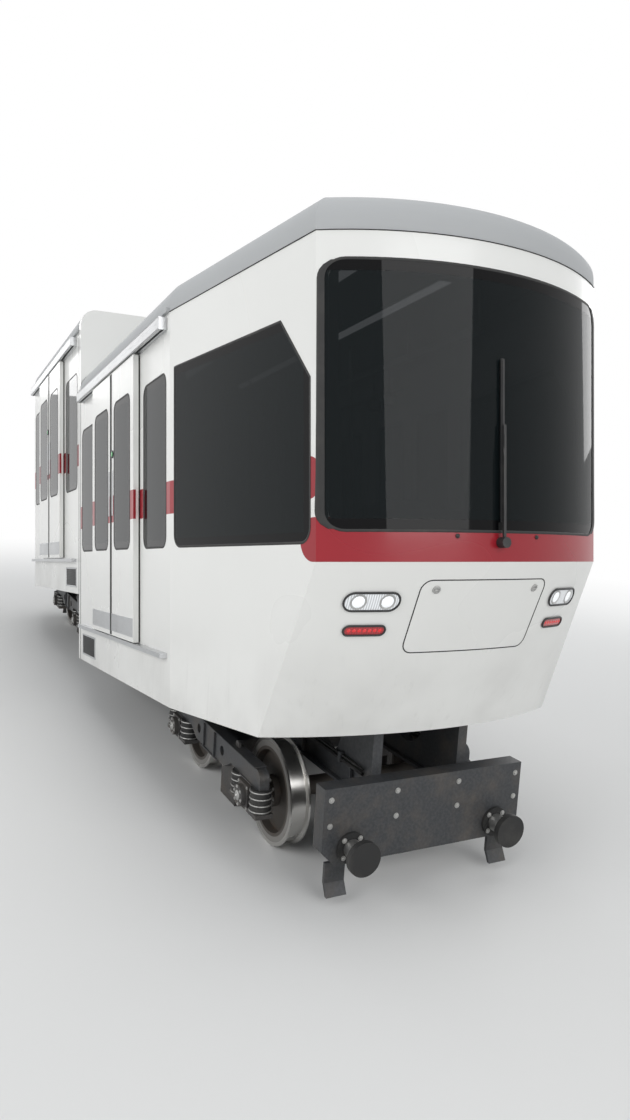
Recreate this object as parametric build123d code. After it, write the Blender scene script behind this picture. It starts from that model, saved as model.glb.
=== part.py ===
from build123d import *
import math
import os

# Car of a single-track funicular with a passing loop. Two level compartments
# of one shape stand a step apart on a chassis that runs parallel to the track.
# Lengths are in millimetres and angles in degrees. In the track frame +X is
# uphill along the rails, +Y the car's left and +Z the normal of the rail plane,
# from the rail heads up. In the level frame X and Z are turned about Y by the
# design slope, so that floors and walls are square to it.

# Track and design slope
design_slope = 7.6
gauge = 1000.0
rail_head_width = 64.0

# Compartments, in the level frame, with heights taken from each floor
half_width = 1100.0
wall = 60.0
taper_start = 2800.0
corner_overhang = 380.0
corner_half_width = 864.0
nose_bulge = 250.0
knee_height = 543.0
nose_rake = 29.0
skirt_drop = 350.0
wall_height = 2060.0
roof_rise = 200.0
roof_shoulder = 150.0
gutter_reach = 22.0
gutter_height = 24.0
gutter_root = 10.0
portal_depth = 80.0

# Floors and stair
uphill_floor = 1300.0
floor_slab = 60.0
riser_height = 146.5
riser_count = 4
tread_depth = 250.0

# Glazing
pane = 8.0
pane_seat = 25.0
pane_corner = 73.0
band_bottom = 630.0
band_top = 1710.0
corner_strip = 47.0
end_pane_shoulder = 1395.0
end_pane_slant = 38.0
end_pane_back = 60.0
stair_window = (120.0, 700.0)
bay_window = (2200.0, 2720.0)
screen_bottom = 685.0
screen_top = 1930.0
screen_side = 28.0
screen_corner = 90.0

# Doors, two leaves each, hung outside the wall
doorway_centre = 1450.0
doorway_width = 1300.0
doorway_height = 1940.0
leaf_overlap = 12.0
leaf_gap = 12.0
leaf_thickness = 36.0
leaf_meeting_gap = 6.0
leaf_sill_drop = 14.0
leaf_frame = 95.0
leaf_travel = 620.0
runner_height = 80.0
runner_depth = 56.0
runner_wall = 8.0
runner_slot = 16.0
runner_clearance = 8.0
runner_overrun = 12.0
hanger_stem = 10.0
hanger_width = 90.0
hanger_head = 20.0
hanger_side_gap = 4.0
hanger_inset = 90.0
seat_gap = 0.3
guide_height = 30.0
guide_gap = 8.0

# Chassis, in the track frame
girder_bottom = 480.0
girder_y = 280.0
girder_web = 60.0
girder_flange_width = 120.0
girder_flange = 16.0
wheel_to_headstock = 120.0
headstock_thickness = 100.0
headstock_half_width = 640.0
headstock_bottom = 200.0
headstock_chamfer = 80.0
outrigger_thickness = 50.0
outrigger_root = 100.0
outrigger_tip = 40.0
outrigger_places = (850.0, 1500.0, 2150.0, 2900.0, 3600.0)
headstock_rise = 140.0
girder_holes = (-3300.0, -2480.0, -1660.0, -950.0, 1100.0, 1700.0)
girder_hole_top = 1000.0
girder_hole_share = 0.3
guard_clearance = 25.0
guard_width = 120.0
guard_thickness = 20.0
guard_toe = 36.0
guard_toe_height = 65.0

# Bogies and wheelsets, in the track frame
bogie_middle = 120.0
bogie_spacing = 5200.0
wheelbase = 1300.0
wheel_radius = 300.0
flange_height = 20.0
flange_width = 20.0
grooved_tread = 78.0
drum_width = 180.0
tyre_thickness = 55.0
web_thickness = 34.0
web_dish = 18.0
hub_radius = 95.0
hub_width = 130.0
axle_radius = 58.0
journal_radius = 45.0
journal_end = 775.0
frame_y = 710.0
frame_web = 60.0
frame_top = 500.0
frame_depth = 110.0
frame_overhang = 190.0
frame_belly = 60.0
frame_belly_slope = 110.0
frame_belly_gap = 60.0
frame_hole_radius = 32.0
frame_hole_place = 225.0
bolster_half_length = 150.0
bolster_top = 440.0
bolster_depth = 120.0
pivot_radius = 60.0
pivot_plate_radius = 140.0
pivot_rise = 60.0
pivot_clearance = 0.1
pivot_beam_half_length = 170.0
pivot_beam_height = 110.0
box_width = 150.0
box_height = 150.0
box_depth = 110.0
journal_clearance = 0.1
journal_end_gap = 2.0
cover_radius = 64.0
cover_wall = 18.0
spring_radius = 62.0
spring_offset = 145.0
spring_shelf = 26.0

# Rail brakes on the bogies
brake_half_length = 130.0
brake_body_height = 120.0
brake_side_play = 8.0
brake_jaw = 26.0
brake_top_half_length = 90.0
brake_cylinder_radius = 42.0
brake_cylinder_reach = 46.0
brake_floor_clearance = 5.0

# Rope anchor and buffers on the headstocks
anchor_height = 320.0
anchor_reach = 230.0
anchor_bore = 25.0
anchor_lug = 30.0
anchor_gap = 64.0
anchor_eye = 62.0
anchor_base = 24.0
buffer_y = 470.0
buffer_height = 290.0
buffer_stem_radius = 48.0
buffer_stem_length = 120.0
buffer_face_radius = 92.0
buffer_face_thickness = 34.0
buffer_foot_radius = 84.0
buffer_foot = 16.0

# Equipment under the floor and on the roof
case_start = 350.0
case_length = 1100.0
case_bottom = 500.0
case_height = 290.0
case_width = 560.0
case_corner = 30.0
case_lid_border = 45.0
case_lid_depth = 5.0
roof_unit_length = 1300.0
roof_unit_width = 1000.0
roof_unit_height = 130.0
roof_unit_corner = 60.0
roof_unit_place = 1500.0
fan_radius = 170.0
fan_hub = 55.0
fan_depth = 40.0
fan_offset = 320.0
louvre_count = 3
louvre_pitch = 26.0
louvre_height = 12.0
louvre_depth = 14.0
louvre_length = 900.0
louvre_bottom = 24.0

# Lamps and wipers
lamp_y = 590.0
lamp_width = 250.0
lamp_height = 86.0
headlamp_below_knee = 190.0
tail_lamp_below_knee = 330.0
tail_lamp_width = 190.0
tail_lamp_height = 46.0
lamp_depth = 120.0
lamp_stand_out = 14.0
wiper_arm = 16.0
wiper_length = 560.0
wiper_stand_off = 24.0
wiper_blade = 10.0
wiper_blade_gap = 2.0
wiper_blade_length = 760.0
wiper_blade_start = 60.0
wiper_foot_radius = 26.0

# Cabin fittings
seat_start = 2160.0
seat_length = 620.0
seat_height = 430.0
seat_pan = 60.0
seat_depth = 420.0
back_height = 420.0
back_thickness = 50.0
seat_leg = 60.0
seat_lean = 28.0
seat_lip = 22.0
seat_edge = 14.0
pole_radius = 17.0
pole_y = 560.0
pole_places = (750.0, 2100.0)
handrail_height = 930.0
handrail_wall_gap = 50.0
handrail_half_length = 760.0
handrail_bend = 400.0
handrail_bracket_radius = 10.0
handrail_brackets = (-745.0, 0.0, 745.0)
desk_half_width = 480.0
desk_depth = 300.0
desk_height = 820.0
desk_slope = 110.0
desk_nose_gap = 40.0

# Values that follow from the dimensions above
module_step = riser_height * riser_count
downhill_floor = uphill_floor - module_step
wheel_reach = bogie_middle + (bogie_spacing + wheelbase) / 2 + wheel_radius + flange_height
girder_end = wheel_reach + wheel_to_headstock
headstock_face = girder_end + headstock_thickness
corner_x = headstock_face + corner_overhang
taper = math.degrees(math.atan2(half_width - corner_half_width, corner_x - taper_start))
knee = uphill_floor + knee_height
skirt = uphill_floor - skirt_drop
wall_top = uphill_floor + wall_height
joint_x = portal_depth / 2
rail_y = (gauge + rail_head_width) / 2
floor_bottom = uphill_floor - floor_slab
leaf_inner_y = half_width + leaf_gap
leaf_outer_y = leaf_inner_y + leaf_thickness
leaf_mid_y = (leaf_inner_y + leaf_outer_y) / 2
leaf_width = doorway_width / 2 + leaf_overlap - leaf_meeting_gap / 2
leaf_bottom = uphill_floor - leaf_sill_drop
leaf_top = uphill_floor + doorway_height + leaf_overlap


def level(shape):
    """Turn a shape of the level frame into the track frame."""
    return Rot(0, design_slope, 0) * shape


def lower(shape):
    """Make the downhill compartment's copy of an uphill piece."""
    return Pos(0, 0, -module_step) * mirror(shape, about=Plane.YZ)


def mirrored(shape):
    """Make the right-hand copy of a left-hand piece."""
    return mirror(shape, about=Plane.XZ)


def block(x, y, z):
    """Box between three pairs of limits."""
    size = [abs(b - a) for a, b in (x, y, z)]
    middle = [(a + b) / 2 for a, b in (x, y, z)]
    return Pos(*middle) * Box(*size)


def corner_line(z):
    """X of the body corner at a height: upright above the knee, raked below it."""
    below = max(knee - z, 0)
    return corner_x - below * math.tan(math.radians(nose_rake))


def plan(z, inset=0.0):
    """Plan outline of a compartment at a height, with its walls moved in by inset."""
    turn = math.radians(taper)
    front = corner_line(z)
    half = half_width - (front - taper_start) * math.tan(turn)
    outer_radius = (half ** 2 + nose_bulge ** 2) / (2 * nose_bulge)
    centre = front + nose_bulge - outer_radius
    radius = outer_radius - inset
    reach = half_width - inset / math.cos(turn) + (taper_start - centre) * math.tan(turn)
    swing = math.asin(reach * math.cos(turn) / radius) - turn
    tip = (centre + radius * math.cos(swing), radius * math.sin(swing))
    bend = (taper_start - inset * math.tan(turn / 2), half_width - inset)
    edges = [
        Line((joint_x, -bend[1], z), (bend[0], -bend[1], z)),
        Line((bend[0], -bend[1], z), (tip[0], -tip[1], z)),
        ThreePointArc((tip[0], -tip[1], z), (centre + radius, 0, z), (tip[0], tip[1], z)),
        Line((tip[0], tip[1], z), (bend[0], bend[1], z)),
        Line((bend[0], bend[1], z), (joint_x, bend[1], z)),
        Line((joint_x, bend[1], z), (joint_x, -bend[1], z)),
    ]
    return Face(Wire(edges))


def compartment(inset=0.0):
    """Closed volume of a compartment from the skirt to the top of the walls."""
    lower_part = loft([plan(skirt, inset), plan(knee, inset)], ruled=True)
    upper_part = extrude(plan(knee, inset), wall_top - knee, dir=(0, 0, 1))
    return lower_part + upper_part


def side_face():
    """Plane on the left wall's tapered face, x back from the corner, z outwards."""
    turn = math.radians(taper)
    return Plane(
        origin=(corner_x, corner_half_width, uphill_floor),
        x_dir=(-math.cos(turn), math.sin(turn), 0),
        z_dir=(math.sin(turn), math.cos(turn), 0),
    )


def wall_plane(x, y, height):
    """Upright plane square to Y through a point, its height taken from the floor."""
    return Plane(origin=(x, y, uphill_floor + height), x_dir=(1, 0, 0), z_dir=(0, 1, 0))


def end_pane_outline(grow=0.0):
    """Outline of the end pane: rounded low corners and a slanted high corner."""
    back = (corner_x - taper_start) / math.cos(math.radians(taper)) - end_pane_back
    slant = (band_top - end_pane_shoulder) * math.tan(math.radians(end_pane_slant))
    face = make_face(Polyline(
        (corner_strip, band_bottom),
        (back, band_bottom),
        (back, band_top),
        (corner_strip + slant, band_top),
        (corner_strip, end_pane_shoulder),
        close=True,
    ))
    low = face.vertices().sort_by(Axis.Y)[:2]
    face = fillet(low, pane_corner)
    return offset(face, grow) if grow else face


def end_pane(grow, depth):
    """Solid of the end pane's outline, from the tapered face inwards."""
    sketch = side_face() * end_pane_outline(grow)
    inward = -side_face().z_dir
    return extrude(sketch, depth, dir=inward)


def straight_pane(window, grow, y, depth):
    """Solid of a window's outline in the straight wall, from y inwards."""
    start, end = window
    width = end - start + 2 * grow
    height = band_top - band_bottom + 2 * grow
    plane = wall_plane((start + end) / 2, y, (band_bottom + band_top) / 2)
    sketch = plane * RectangleRounded(width, height, pane_corner + grow)
    return extrude(sketch, depth, dir=(0, -1, 0))


def screen_block(grow):
    """Block that cuts the windscreen's outline out of the end cap."""
    width = 2 * (corner_half_width - screen_side + grow)
    height = screen_top - screen_bottom + 2 * grow
    middle = uphill_floor + (screen_top + screen_bottom) / 2
    plane = Plane(origin=(corner_x - pane, 0, middle), x_dir=(0, 1, 0), z_dir=(1, 0, 0))
    sketch = plane * RectangleRounded(width, height, screen_corner + grow)
    return extrude(sketch, nose_bulge + 4 * pane, dir=(1, 0, 0))


def end_region():
    """Space ahead of the body corners, upright above the knee and raked below."""
    ahead = corner_x + 2 * nose_bulge
    profile = Plane.XZ * make_face(Polyline(
        (corner_line(skirt), skirt),
        (corner_x, knee),
        (corner_x, wall_top),
        (ahead, wall_top),
        (ahead, skirt),
        close=True,
    ))
    return extrude(profile, half_width, both=True)


def make_body():
    """Side walls, end cap and roof of the uphill compartment."""
    outer = compartment()
    hollow = compartment(wall)
    ahead = end_region()
    ring = outer - hollow
    glass_seat = compartment(pane)

    left_half = block((joint_x, corner_x), (0, half_width), (skirt, wall_top))
    side = (ring - ahead) & left_half
    doorway = (doorway_centre - doorway_width / 2, doorway_centre + doorway_width / 2)
    side -= block(
        doorway,
        (half_width - 2 * wall, half_width + wall),
        (uphill_floor, uphill_floor + doorway_height),
    )
    for window in (stair_window, bay_window):
        side -= straight_pane(window, -pane_seat, half_width + pane, wall + 2 * pane)
        side -= straight_pane(window, 0, half_width, pane)
    side -= end_pane(-pane_seat, 3 * wall)
    side -= end_pane(0, pane)

    cap = ring & ahead
    cap -= screen_block(-pane_seat)
    screen = (screen_block(0) & outer) - glass_seat
    cap -= screen
    return side, cap, screen


def make_roof():
    """Roof shell with rounded shoulders on the plan outline of the walls."""
    base = plan(knee)
    shell = Pos(0, 0, wall_top - knee) * extrude(base, roof_rise, dir=(0, 0, 1))
    rim = [e for e in shell.edges() if e.center().Z > wall_top + roof_rise - 1]
    rim = [e for e in rim if e.center().X > joint_x + 1]
    shell = fillet(rim, roof_shoulder)
    hollow = extrude(plan(knee, wall), roof_rise - wall, dir=(0, 0, 1))
    gutter = block(
        (joint_x, taper_start),
        (half_width - gutter_root, half_width + gutter_reach),
        (wall_top, wall_top + gutter_height),
    )
    return shell - Pos(0, 0, wall_top - knee) * hollow + gutter + mirrored(gutter)


def make_portal():
    """Upright frame that joins the two compartments and closes the roof step."""
    top = wall_top + roof_rise
    bottom = skirt - module_step
    ceiling = top - wall - module_step
    plane = Plane(origin=(0, 0, (top + bottom) / 2), x_dir=(0, 1, 0), z_dir=(1, 0, 0))
    sketch = plane * Rectangle(2 * half_width, top - bottom)
    frame = extrude(sketch, portal_depth / 2, both=True)
    shoulders = frame.edges().filter_by(Axis.X).sort_by(Axis.Z)[-2:]
    frame = fillet(shoulders, roof_shoulder)
    passage = block(
        (-portal_depth, portal_depth),
        (-(half_width - wall), half_width - wall),
        (bottom - wall, ceiling),
    )
    return frame - passage


def stair_line(offset_x, offset_z, start, end):
    """Points of the stepped floor line, moved by an offset, between two ends."""
    points = [(start, downhill_floor + offset_z)]
    first = -(riser_count - 1) * tread_depth / 2
    for n in range(riser_count):
        x = first + n * tread_depth + offset_x
        z = downhill_floor + n * riser_height + offset_z
        points += [(x, z), (x, z + riser_height)]
    return points + [(end, uphill_floor + offset_z)]


def make_floor():
    """One stepped slab through both compartments, cut to their inside."""
    end = corner_x + nose_bulge
    top = stair_line(0, 0, -end, end)
    under = stair_line(floor_slab, -floor_slab, -end, end)
    profile = Plane.XZ * make_face(Polyline(*top, *reversed(under), close=True))
    slab = extrude(profile, half_width - wall, both=True)
    inside = compartment(wall)
    middle = block((-joint_x, joint_x), (-half_width, half_width), (skirt - module_step, wall_top))
    return slab & (inside + middle + lower(inside))


def leaf_edges(side):
    """X limits of a closed leaf: side 1 is uphill of the meeting line, -1 downhill."""
    near = doorway_centre + side * leaf_meeting_gap / 2
    return tuple(sorted((near, near + side * leaf_width)))


def make_leaf(side):
    """Door leaf with its hangers, and its pane, on the left wall."""
    start, end = leaf_edges(side)
    leaf = block((start, end), (leaf_inner_y, leaf_outer_y), (leaf_bottom, leaf_top))
    window = (start + leaf_frame, end - leaf_frame)
    glass = straight_pane(window, 0, leaf_outer_y, pane)
    leaf -= straight_pane(window, -pane_seat, leaf_outer_y + pane, leaf_thickness + 2 * pane)
    leaf -= glass
    lip = runner_bottom() + runner_wall
    channel = (runner_depth - 2 * runner_wall) / 2
    for x in (start + hanger_inset, end - hanger_inset):
        span = (x - hanger_width / 2, x + hanger_width / 2)
        stem = (leaf_mid_y - hanger_stem / 2, leaf_mid_y + hanger_stem / 2)
        head = (leaf_mid_y - channel + hanger_side_gap, leaf_mid_y + channel - hanger_side_gap)
        leaf += block(span, stem, (leaf_top, lip + seat_gap))
        leaf += block(span, head, (lip + seat_gap, lip + seat_gap + hanger_head))
    return leaf, glass


def runner_bottom():
    """Height of the runner's underside, over the closed leaves."""
    return leaf_top + runner_clearance


def make_runner():
    """Slotted channel that carries both leaves, and the guide bar under them."""
    reach = leaf_width + leaf_travel + leaf_meeting_gap / 2 + runner_overrun
    along = (doorway_centre - reach, doorway_centre + reach)
    low = runner_bottom()
    high = low + runner_height
    out = leaf_mid_y + runner_depth / 2
    channel = block(along, (half_width, out), (low, high))
    channel -= block(
        (along[0] - 1, along[1] + 1),
        (leaf_mid_y - runner_depth / 2 + runner_wall, out - runner_wall),
        (low + runner_wall, high - runner_wall),
    )
    channel -= block(
        (along[0] - 1, along[1] + 1),
        (leaf_mid_y - runner_slot / 2, leaf_mid_y + runner_slot / 2),
        (low - 1, low + runner_wall + 1),
    )
    guide = block(
        along,
        (half_width, leaf_outer_y),
        (leaf_bottom - guide_gap - guide_height, leaf_bottom - guide_gap),
    )
    return channel, guide


def under_floor(x, height):
    """Height in the track frame of a level line of the level frame."""
    slope = math.radians(design_slope)
    along = (x - height * math.sin(slope)) / math.cos(slope)
    return height * math.cos(slope) - along * math.sin(slope)


def track_point(x, z):
    """Point of the level frame in the track frame."""
    slope = math.radians(design_slope)
    return (x * math.cos(slope) + z * math.sin(slope), z * math.cos(slope) - x * math.sin(slope))


def make_girders():
    """Two wedge girders that follow the floors, with holed webs and a flange below."""
    end = girder_end
    low_floor = downhill_floor - floor_slab
    stair_foot = -(riser_count - 1) * tread_depth / 2 + floor_slab
    stair_head = stair_foot + (floor_bottom - low_floor) / (riser_height / tread_depth)
    profile = Plane.XZ * make_face(Polyline(
        (-end, girder_bottom),
        (-end, under_floor(-end, low_floor)),
        track_point(stair_foot, low_floor),
        track_point(stair_head, floor_bottom),
        (end, under_floor(end, floor_bottom)),
        (end, girder_bottom),
        close=True,
    ))
    web = extrude(profile, girder_web / 2, both=True)
    for x in girder_holes:
        top = min(under_floor(x, low_floor if x < 0 else floor_bottom), girder_hole_top)
        radius = (top - girder_bottom) * girder_hole_share
        hole = Plane((x, 0, (top + girder_bottom) / 2), z_dir=(0, 1, 0)) * Circle(radius)
        web -= extrude(hole, girder_web, both=True)
    web += block(
        (-end, end),
        (-girder_flange_width / 2, girder_flange_width / 2),
        (girder_bottom - girder_flange, girder_bottom),
    )
    return [Pos(0, side * girder_y, 0) * web for side in (-1, 1)]


def make_pivot_beams():
    """Cross beams between the girders, bored for the bogies' pivots."""
    inner = girder_y - girder_web / 2
    beams = []
    for side in (-1, 1):
        x = bogie_middle + side * bogie_spacing / 2
        beam = block(
            (x - pivot_beam_half_length, x + pivot_beam_half_length),
            (-inner, inner),
            (girder_bottom, girder_bottom + pivot_beam_height),
        )
        pivot = Pos(x, 0, girder_bottom) * Cylinder(
            pivot_radius + pivot_clearance, pivot_rise + pivot_clearance,
            align=(Align.CENTER, Align.CENTER, Align.MIN),
        )
        beams.append(beam - pivot)
    return beams


def make_headstocks():
    """Cross members on the girders' ends that carry the buffers and the rope anchor."""
    half = headstock_half_width
    low_half = half - headstock_chamfer
    outline = make_face(Polyline(
        (-low_half, headstock_bottom),
        (low_half, headstock_bottom),
        (half, headstock_bottom + headstock_chamfer),
        (half, girder_bottom + headstock_rise),
        (-half, girder_bottom + headstock_rise),
        (-half, headstock_bottom + headstock_chamfer),
        close=True,
    ))
    middle = girder_end + headstock_thickness / 2
    places = [Plane.YZ.offset(side * middle) for side in (-1, 1)]
    return [extrude(place * outline, headstock_thickness / 2, both=True) for place in places]


def make_rail_guards():
    """Plates under the headstocks that push stones off the rails, with their toes ahead."""
    root = girder_end + (headstock_thickness - guard_thickness) / 2
    toe = guard_clearance + guard_toe_height
    profile = Plane.XZ * make_face(Polyline(
        (root, headstock_bottom),
        (root, toe),
        (root + guard_toe, guard_clearance),
        (root + guard_toe + guard_thickness, guard_clearance),
        (root + guard_thickness, toe),
        (root + guard_thickness, headstock_bottom),
        close=True,
    ))
    guard = Pos(0, rail_y, 0) * extrude(profile, guard_width / 2, both=True)
    ahead = [guard, mirrored(guard)]
    return [*ahead, *(mirror(g, about=Plane.YZ) for g in ahead)]


def inside_wall(x):
    """Y of the left wall's inner face at a place along the compartment."""
    turn = math.radians(taper)
    tapered = half_width - wall / math.cos(turn) - (x - taper_start) * math.tan(turn)
    return min(half_width - wall, tapered)


def make_outrigger(x):
    """Pair of tapered brackets under the floor, from the girders to the side walls."""
    tip = inside_wall(x + outrigger_thickness / 2)
    root = girder_y + girder_web / 2
    outline = make_face(Polyline(
        (root, floor_bottom),
        (tip, floor_bottom),
        (tip, floor_bottom - outrigger_tip),
        (root, floor_bottom - outrigger_root),
        close=True,
    ))
    arm = extrude(Plane.YZ.offset(x) * outline, outrigger_thickness / 2, both=True)
    return [arm, mirrored(arm)]


def wheel_profile(side):
    """Half section of a wheel about Y: a grooved wheel on the left, a drum on the right."""
    y = side * rail_y
    half_hub = hub_width / 2
    half_web = web_thickness / 2
    dish = web_dish / 2
    rim = wheel_radius - tyre_thickness
    if side > 0:
        half = grooved_tread / 2
        tread = [
            (y + half + flange_width, rim),
            (y + half + flange_width, wheel_radius + flange_height),
            (y + half + flange_width / 2, wheel_radius + flange_height),
            (y + half, wheel_radius),
            (y - half, wheel_radius),
            (y - half - flange_width / 2, wheel_radius + flange_height),
            (y - half - flange_width, wheel_radius + flange_height),
            (y - half - flange_width, rim),
        ]
    else:
        half = drum_width / 2
        tread = [
            (y + half, rim),
            (y + half, wheel_radius),
            (y - half, wheel_radius),
            (y - half, rim),
        ]
    return [
        (y + half_hub, 0),
        (y + half_hub, hub_radius),
        (y + half_web + dish, hub_radius),
        (y + half_web - dish, rim),
        *tread,
        (y - half_web - dish, rim),
        (y - half_web + dish, hub_radius),
        (y - half_hub, hub_radius),
        (y - half_hub, 0),
    ]


def make_wheelset():
    """Axle with a grooved wheel on the left and a drum wheel on the right."""
    half_axle = rail_y + hub_width / 2
    axle = Rot(90, 0, 0) * Cylinder(axle_radius, 2 * half_axle)
    journal = Rot(90, 0, 0) * Cylinder(journal_radius, 2 * journal_end)
    body = axle + journal
    for side in (-1, 1):
        points = [(radius, y) for y, radius in wheel_profile(side)]
        section = make_face(Polyline(*points, close=True))
        wheel = revolve(section, Axis.Y)
        body += wheel
    return Pos(0, 0, wheel_radius) * body


def make_bogie_frame():
    """Deep-bellied side frames outside the wheels, the bolster between them and its pivot."""
    half = wheelbase / 2 + frame_overhang
    bottom = frame_top - frame_depth
    belly_end = wheelbase / 2 - spring_offset - spring_radius - frame_belly_gap
    belly = belly_end - frame_belly_slope
    profile = make_face(Polyline(
        (-half, frame_top),
        (-half, bottom),
        (-belly_end, bottom),
        (-belly, bottom - frame_belly),
        (belly, bottom - frame_belly),
        (belly_end, bottom),
        (half, bottom),
        (half, frame_top),
        close=True,
    ))
    shoulders = profile.vertices().group_by(Axis.Y)[-1]
    profile = fillet(shoulders, frame_depth / 2)
    hole_height = frame_top - (frame_depth + frame_belly) / 2
    for way in (-1, 1):
        profile -= Pos(way * frame_hole_place, hole_height) * Circle(frame_hole_radius)
    side = extrude(Plane.XZ.offset(-frame_y) * profile, frame_web / 2, both=True)
    frame = side + mirrored(side)
    frame += block(
        (-bolster_half_length, bolster_half_length),
        (-(frame_y - frame_web / 2), frame_y - frame_web / 2),
        (bolster_top - bolster_depth, bolster_top),
    )
    plate = girder_bottom - seat_gap
    frame += Pos(0, 0, bolster_top) * Cylinder(
        pivot_plate_radius, plate - bolster_top,
        align=(Align.CENTER, Align.CENTER, Align.MIN),
    )
    frame += Pos(0, 0, plate) * Cylinder(
        pivot_radius, pivot_rise + seat_gap,
        align=(Align.CENTER, Align.CENTER, Align.MIN),
    )
    return frame


def box_places():
    """Axle positions along the bogie and the sides that carry a box."""
    return [(x, side) for x in (-wheelbase / 2, wheelbase / 2) for side in (-1, 1)]


def make_axle_boxes():
    """Axle boxes with round end covers and a shelf for a spring on either side."""
    boxes = []
    inner = frame_y - box_depth / 2
    outer = frame_y + box_depth / 2
    half_shelf = spring_offset + spring_radius
    for x, side in box_places():
        housing = block(
            (x - box_width / 2, x + box_width / 2),
            (inner, outer),
            (wheel_radius - box_height / 2, wheel_radius + box_height / 2),
        )
        housing += block(
            (x - half_shelf, x + half_shelf),
            (inner, outer),
            (wheel_radius - box_height / 2, wheel_radius - box_height / 2 + spring_shelf),
        )
        cover_end = journal_end + journal_end_gap + cover_wall
        housing += Pos(x, (outer + cover_end) / 2, wheel_radius) * Rot(90, 0, 0) * Cylinder(
            cover_radius, cover_end - outer,
        )
        bore_end = journal_end + journal_end_gap
        housing -= Pos(x, (inner + bore_end) / 2, wheel_radius) * Rot(90, 0, 0) * Cylinder(
            journal_radius + journal_clearance, bore_end - inner,
        )
        boxes.append(housing if side > 0 else mirrored(housing))
    return boxes


def make_springs():
    """Rubber springs between the shelves of the axle boxes and the side frames."""
    springs = []
    low = wheel_radius - box_height / 2 + spring_shelf
    high = frame_top - frame_depth
    for x, side in box_places():
        for way in (-1, 1):
            place = (x + way * spring_offset, side * frame_y, low)
            springs.append(Pos(*place) * Cylinder(
                spring_radius, high - low,
                align=(Align.CENTER, Align.CENTER, Align.MIN),
            ))
    return springs


def make_rail_brakes():
    """Tapered brake bodies under the bolster, with their cylinders and jaws astride the rails."""
    brakes = []
    high = bolster_top - bolster_depth
    low = high - brake_body_height
    half_head = rail_head_width / 2 + brake_side_play
    for side in (-1, 1):
        y = side * rail_y
        profile = Plane.XZ * make_face(Polyline(
            (-brake_half_length, low),
            (brake_half_length, low),
            (brake_top_half_length, high),
            (-brake_top_half_length, high),
            close=True,
        ))
        body = Pos(0, y, 0) * extrude(profile, half_head + brake_jaw, both=True)
        outer_face = rail_y + half_head + brake_jaw
        body += Pos(0, side * (outer_face + brake_cylinder_reach / 2), (low + high) / 2) * Rot(
            90, 0, 0) * Cylinder(brake_cylinder_radius, brake_cylinder_reach)
        for way in (-1, 1):
            body += block(
                (-brake_half_length, brake_half_length),
                (y + way * half_head, y + way * (half_head + brake_jaw)),
                (brake_floor_clearance - flange_height, low),
            )
        brakes.append(body)
    return brakes


def make_rope_anchor():
    """Bored fork for the rope socket on the uphill headstock."""
    face = headstock_face
    eye = face + anchor_reach
    foot = block(
        (face, face + anchor_base),
        (-(anchor_gap / 2 + 2 * anchor_lug), anchor_gap / 2 + 2 * anchor_lug),
        (anchor_height - 1.4 * anchor_eye, anchor_height + 1.4 * anchor_eye),
    )
    for side in (-1, 1):
        y = side * (anchor_gap + anchor_lug) / 2
        lug = block(
            (face + anchor_base, eye),
            (y - anchor_lug / 2, y + anchor_lug / 2),
            (anchor_height - anchor_eye, anchor_height + anchor_eye),
        )
        lug += Pos(eye, y, anchor_height) * Rot(90, 0, 0) * Cylinder(anchor_eye, anchor_lug)
        foot += lug
    bore = Rot(90, 0, 0) * Cylinder(anchor_bore, anchor_gap + 4 * anchor_lug)
    return foot - Pos(eye, 0, anchor_height) * bore


def make_buffers():
    """Two buffers on each headstock: a foot, a stem and a round rubber face."""
    buffers = []
    face = headstock_face
    for end in (-1, 1):
        for side in (-1, 1):
            stem = Cylinder(
                buffer_stem_radius, buffer_stem_length, align=(Align.CENTER, Align.CENTER, Align.MIN),
            )
            stem += Cylinder(
                buffer_foot_radius, buffer_foot, align=(Align.CENTER, Align.CENTER, Align.MIN),
            )
            disc = Pos(0, 0, buffer_stem_length) * Cylinder(
                buffer_face_radius, buffer_face_thickness,
                align=(Align.CENTER, Align.CENTER, Align.MIN),
            )
            place = Pos(end * face, side * buffer_y, buffer_height) * Rot(0, end * 90, 0)
            buffers.append(place * (stem + disc))
    return buffers


def make_cases():
    """Equipment cases on the outer faces of the girders, each with a sunk lid."""
    inner = girder_y + girder_web / 2
    case = block(
        (case_start, case_start + case_length),
        (inner, inner + case_width),
        (case_bottom, case_bottom + case_height),
    )
    case = fillet(case.edges().filter_by(Axis.X).sort_by(Axis.Y)[-2:], case_corner)
    case -= block(
        (case_start + case_lid_border, case_start + case_length - case_lid_border),
        (inner + case_width - case_lid_depth, inner + case_width + case_lid_depth),
        (case_bottom + case_lid_border, case_bottom + case_height - case_lid_border),
    )
    return [case, mirrored(case)]


def make_roof_unit():
    """Flat ventilation housing on a roof, with two fan wells and louvres in its sides."""
    top = wall_top + roof_rise
    unit = block(
        (roof_unit_place - roof_unit_length / 2, roof_unit_place + roof_unit_length / 2),
        (-roof_unit_width / 2, roof_unit_width / 2),
        (top, top + roof_unit_height),
    )
    unit = fillet(unit.edges().group_by(Axis.Z)[-1], roof_unit_corner)
    deep = top + roof_unit_height - fan_depth
    well = Cylinder(fan_radius, fan_depth, align=(Align.CENTER, Align.CENTER, Align.MIN))
    well -= Cylinder(fan_hub, fan_depth, align=(Align.CENTER, Align.CENTER, Align.MIN))
    for way in (-1, 1):
        unit -= Pos(roof_unit_place + way * fan_offset, 0, deep) * well
        face = way * roof_unit_width / 2
        for n in range(louvre_count):
            low = top + louvre_bottom + n * louvre_pitch
            unit -= block(
                (roof_unit_place - louvre_length / 2, roof_unit_place + louvre_length / 2),
                (face - way * louvre_depth, face + way),
                (low, low + louvre_height),
            )
    return unit


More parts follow.
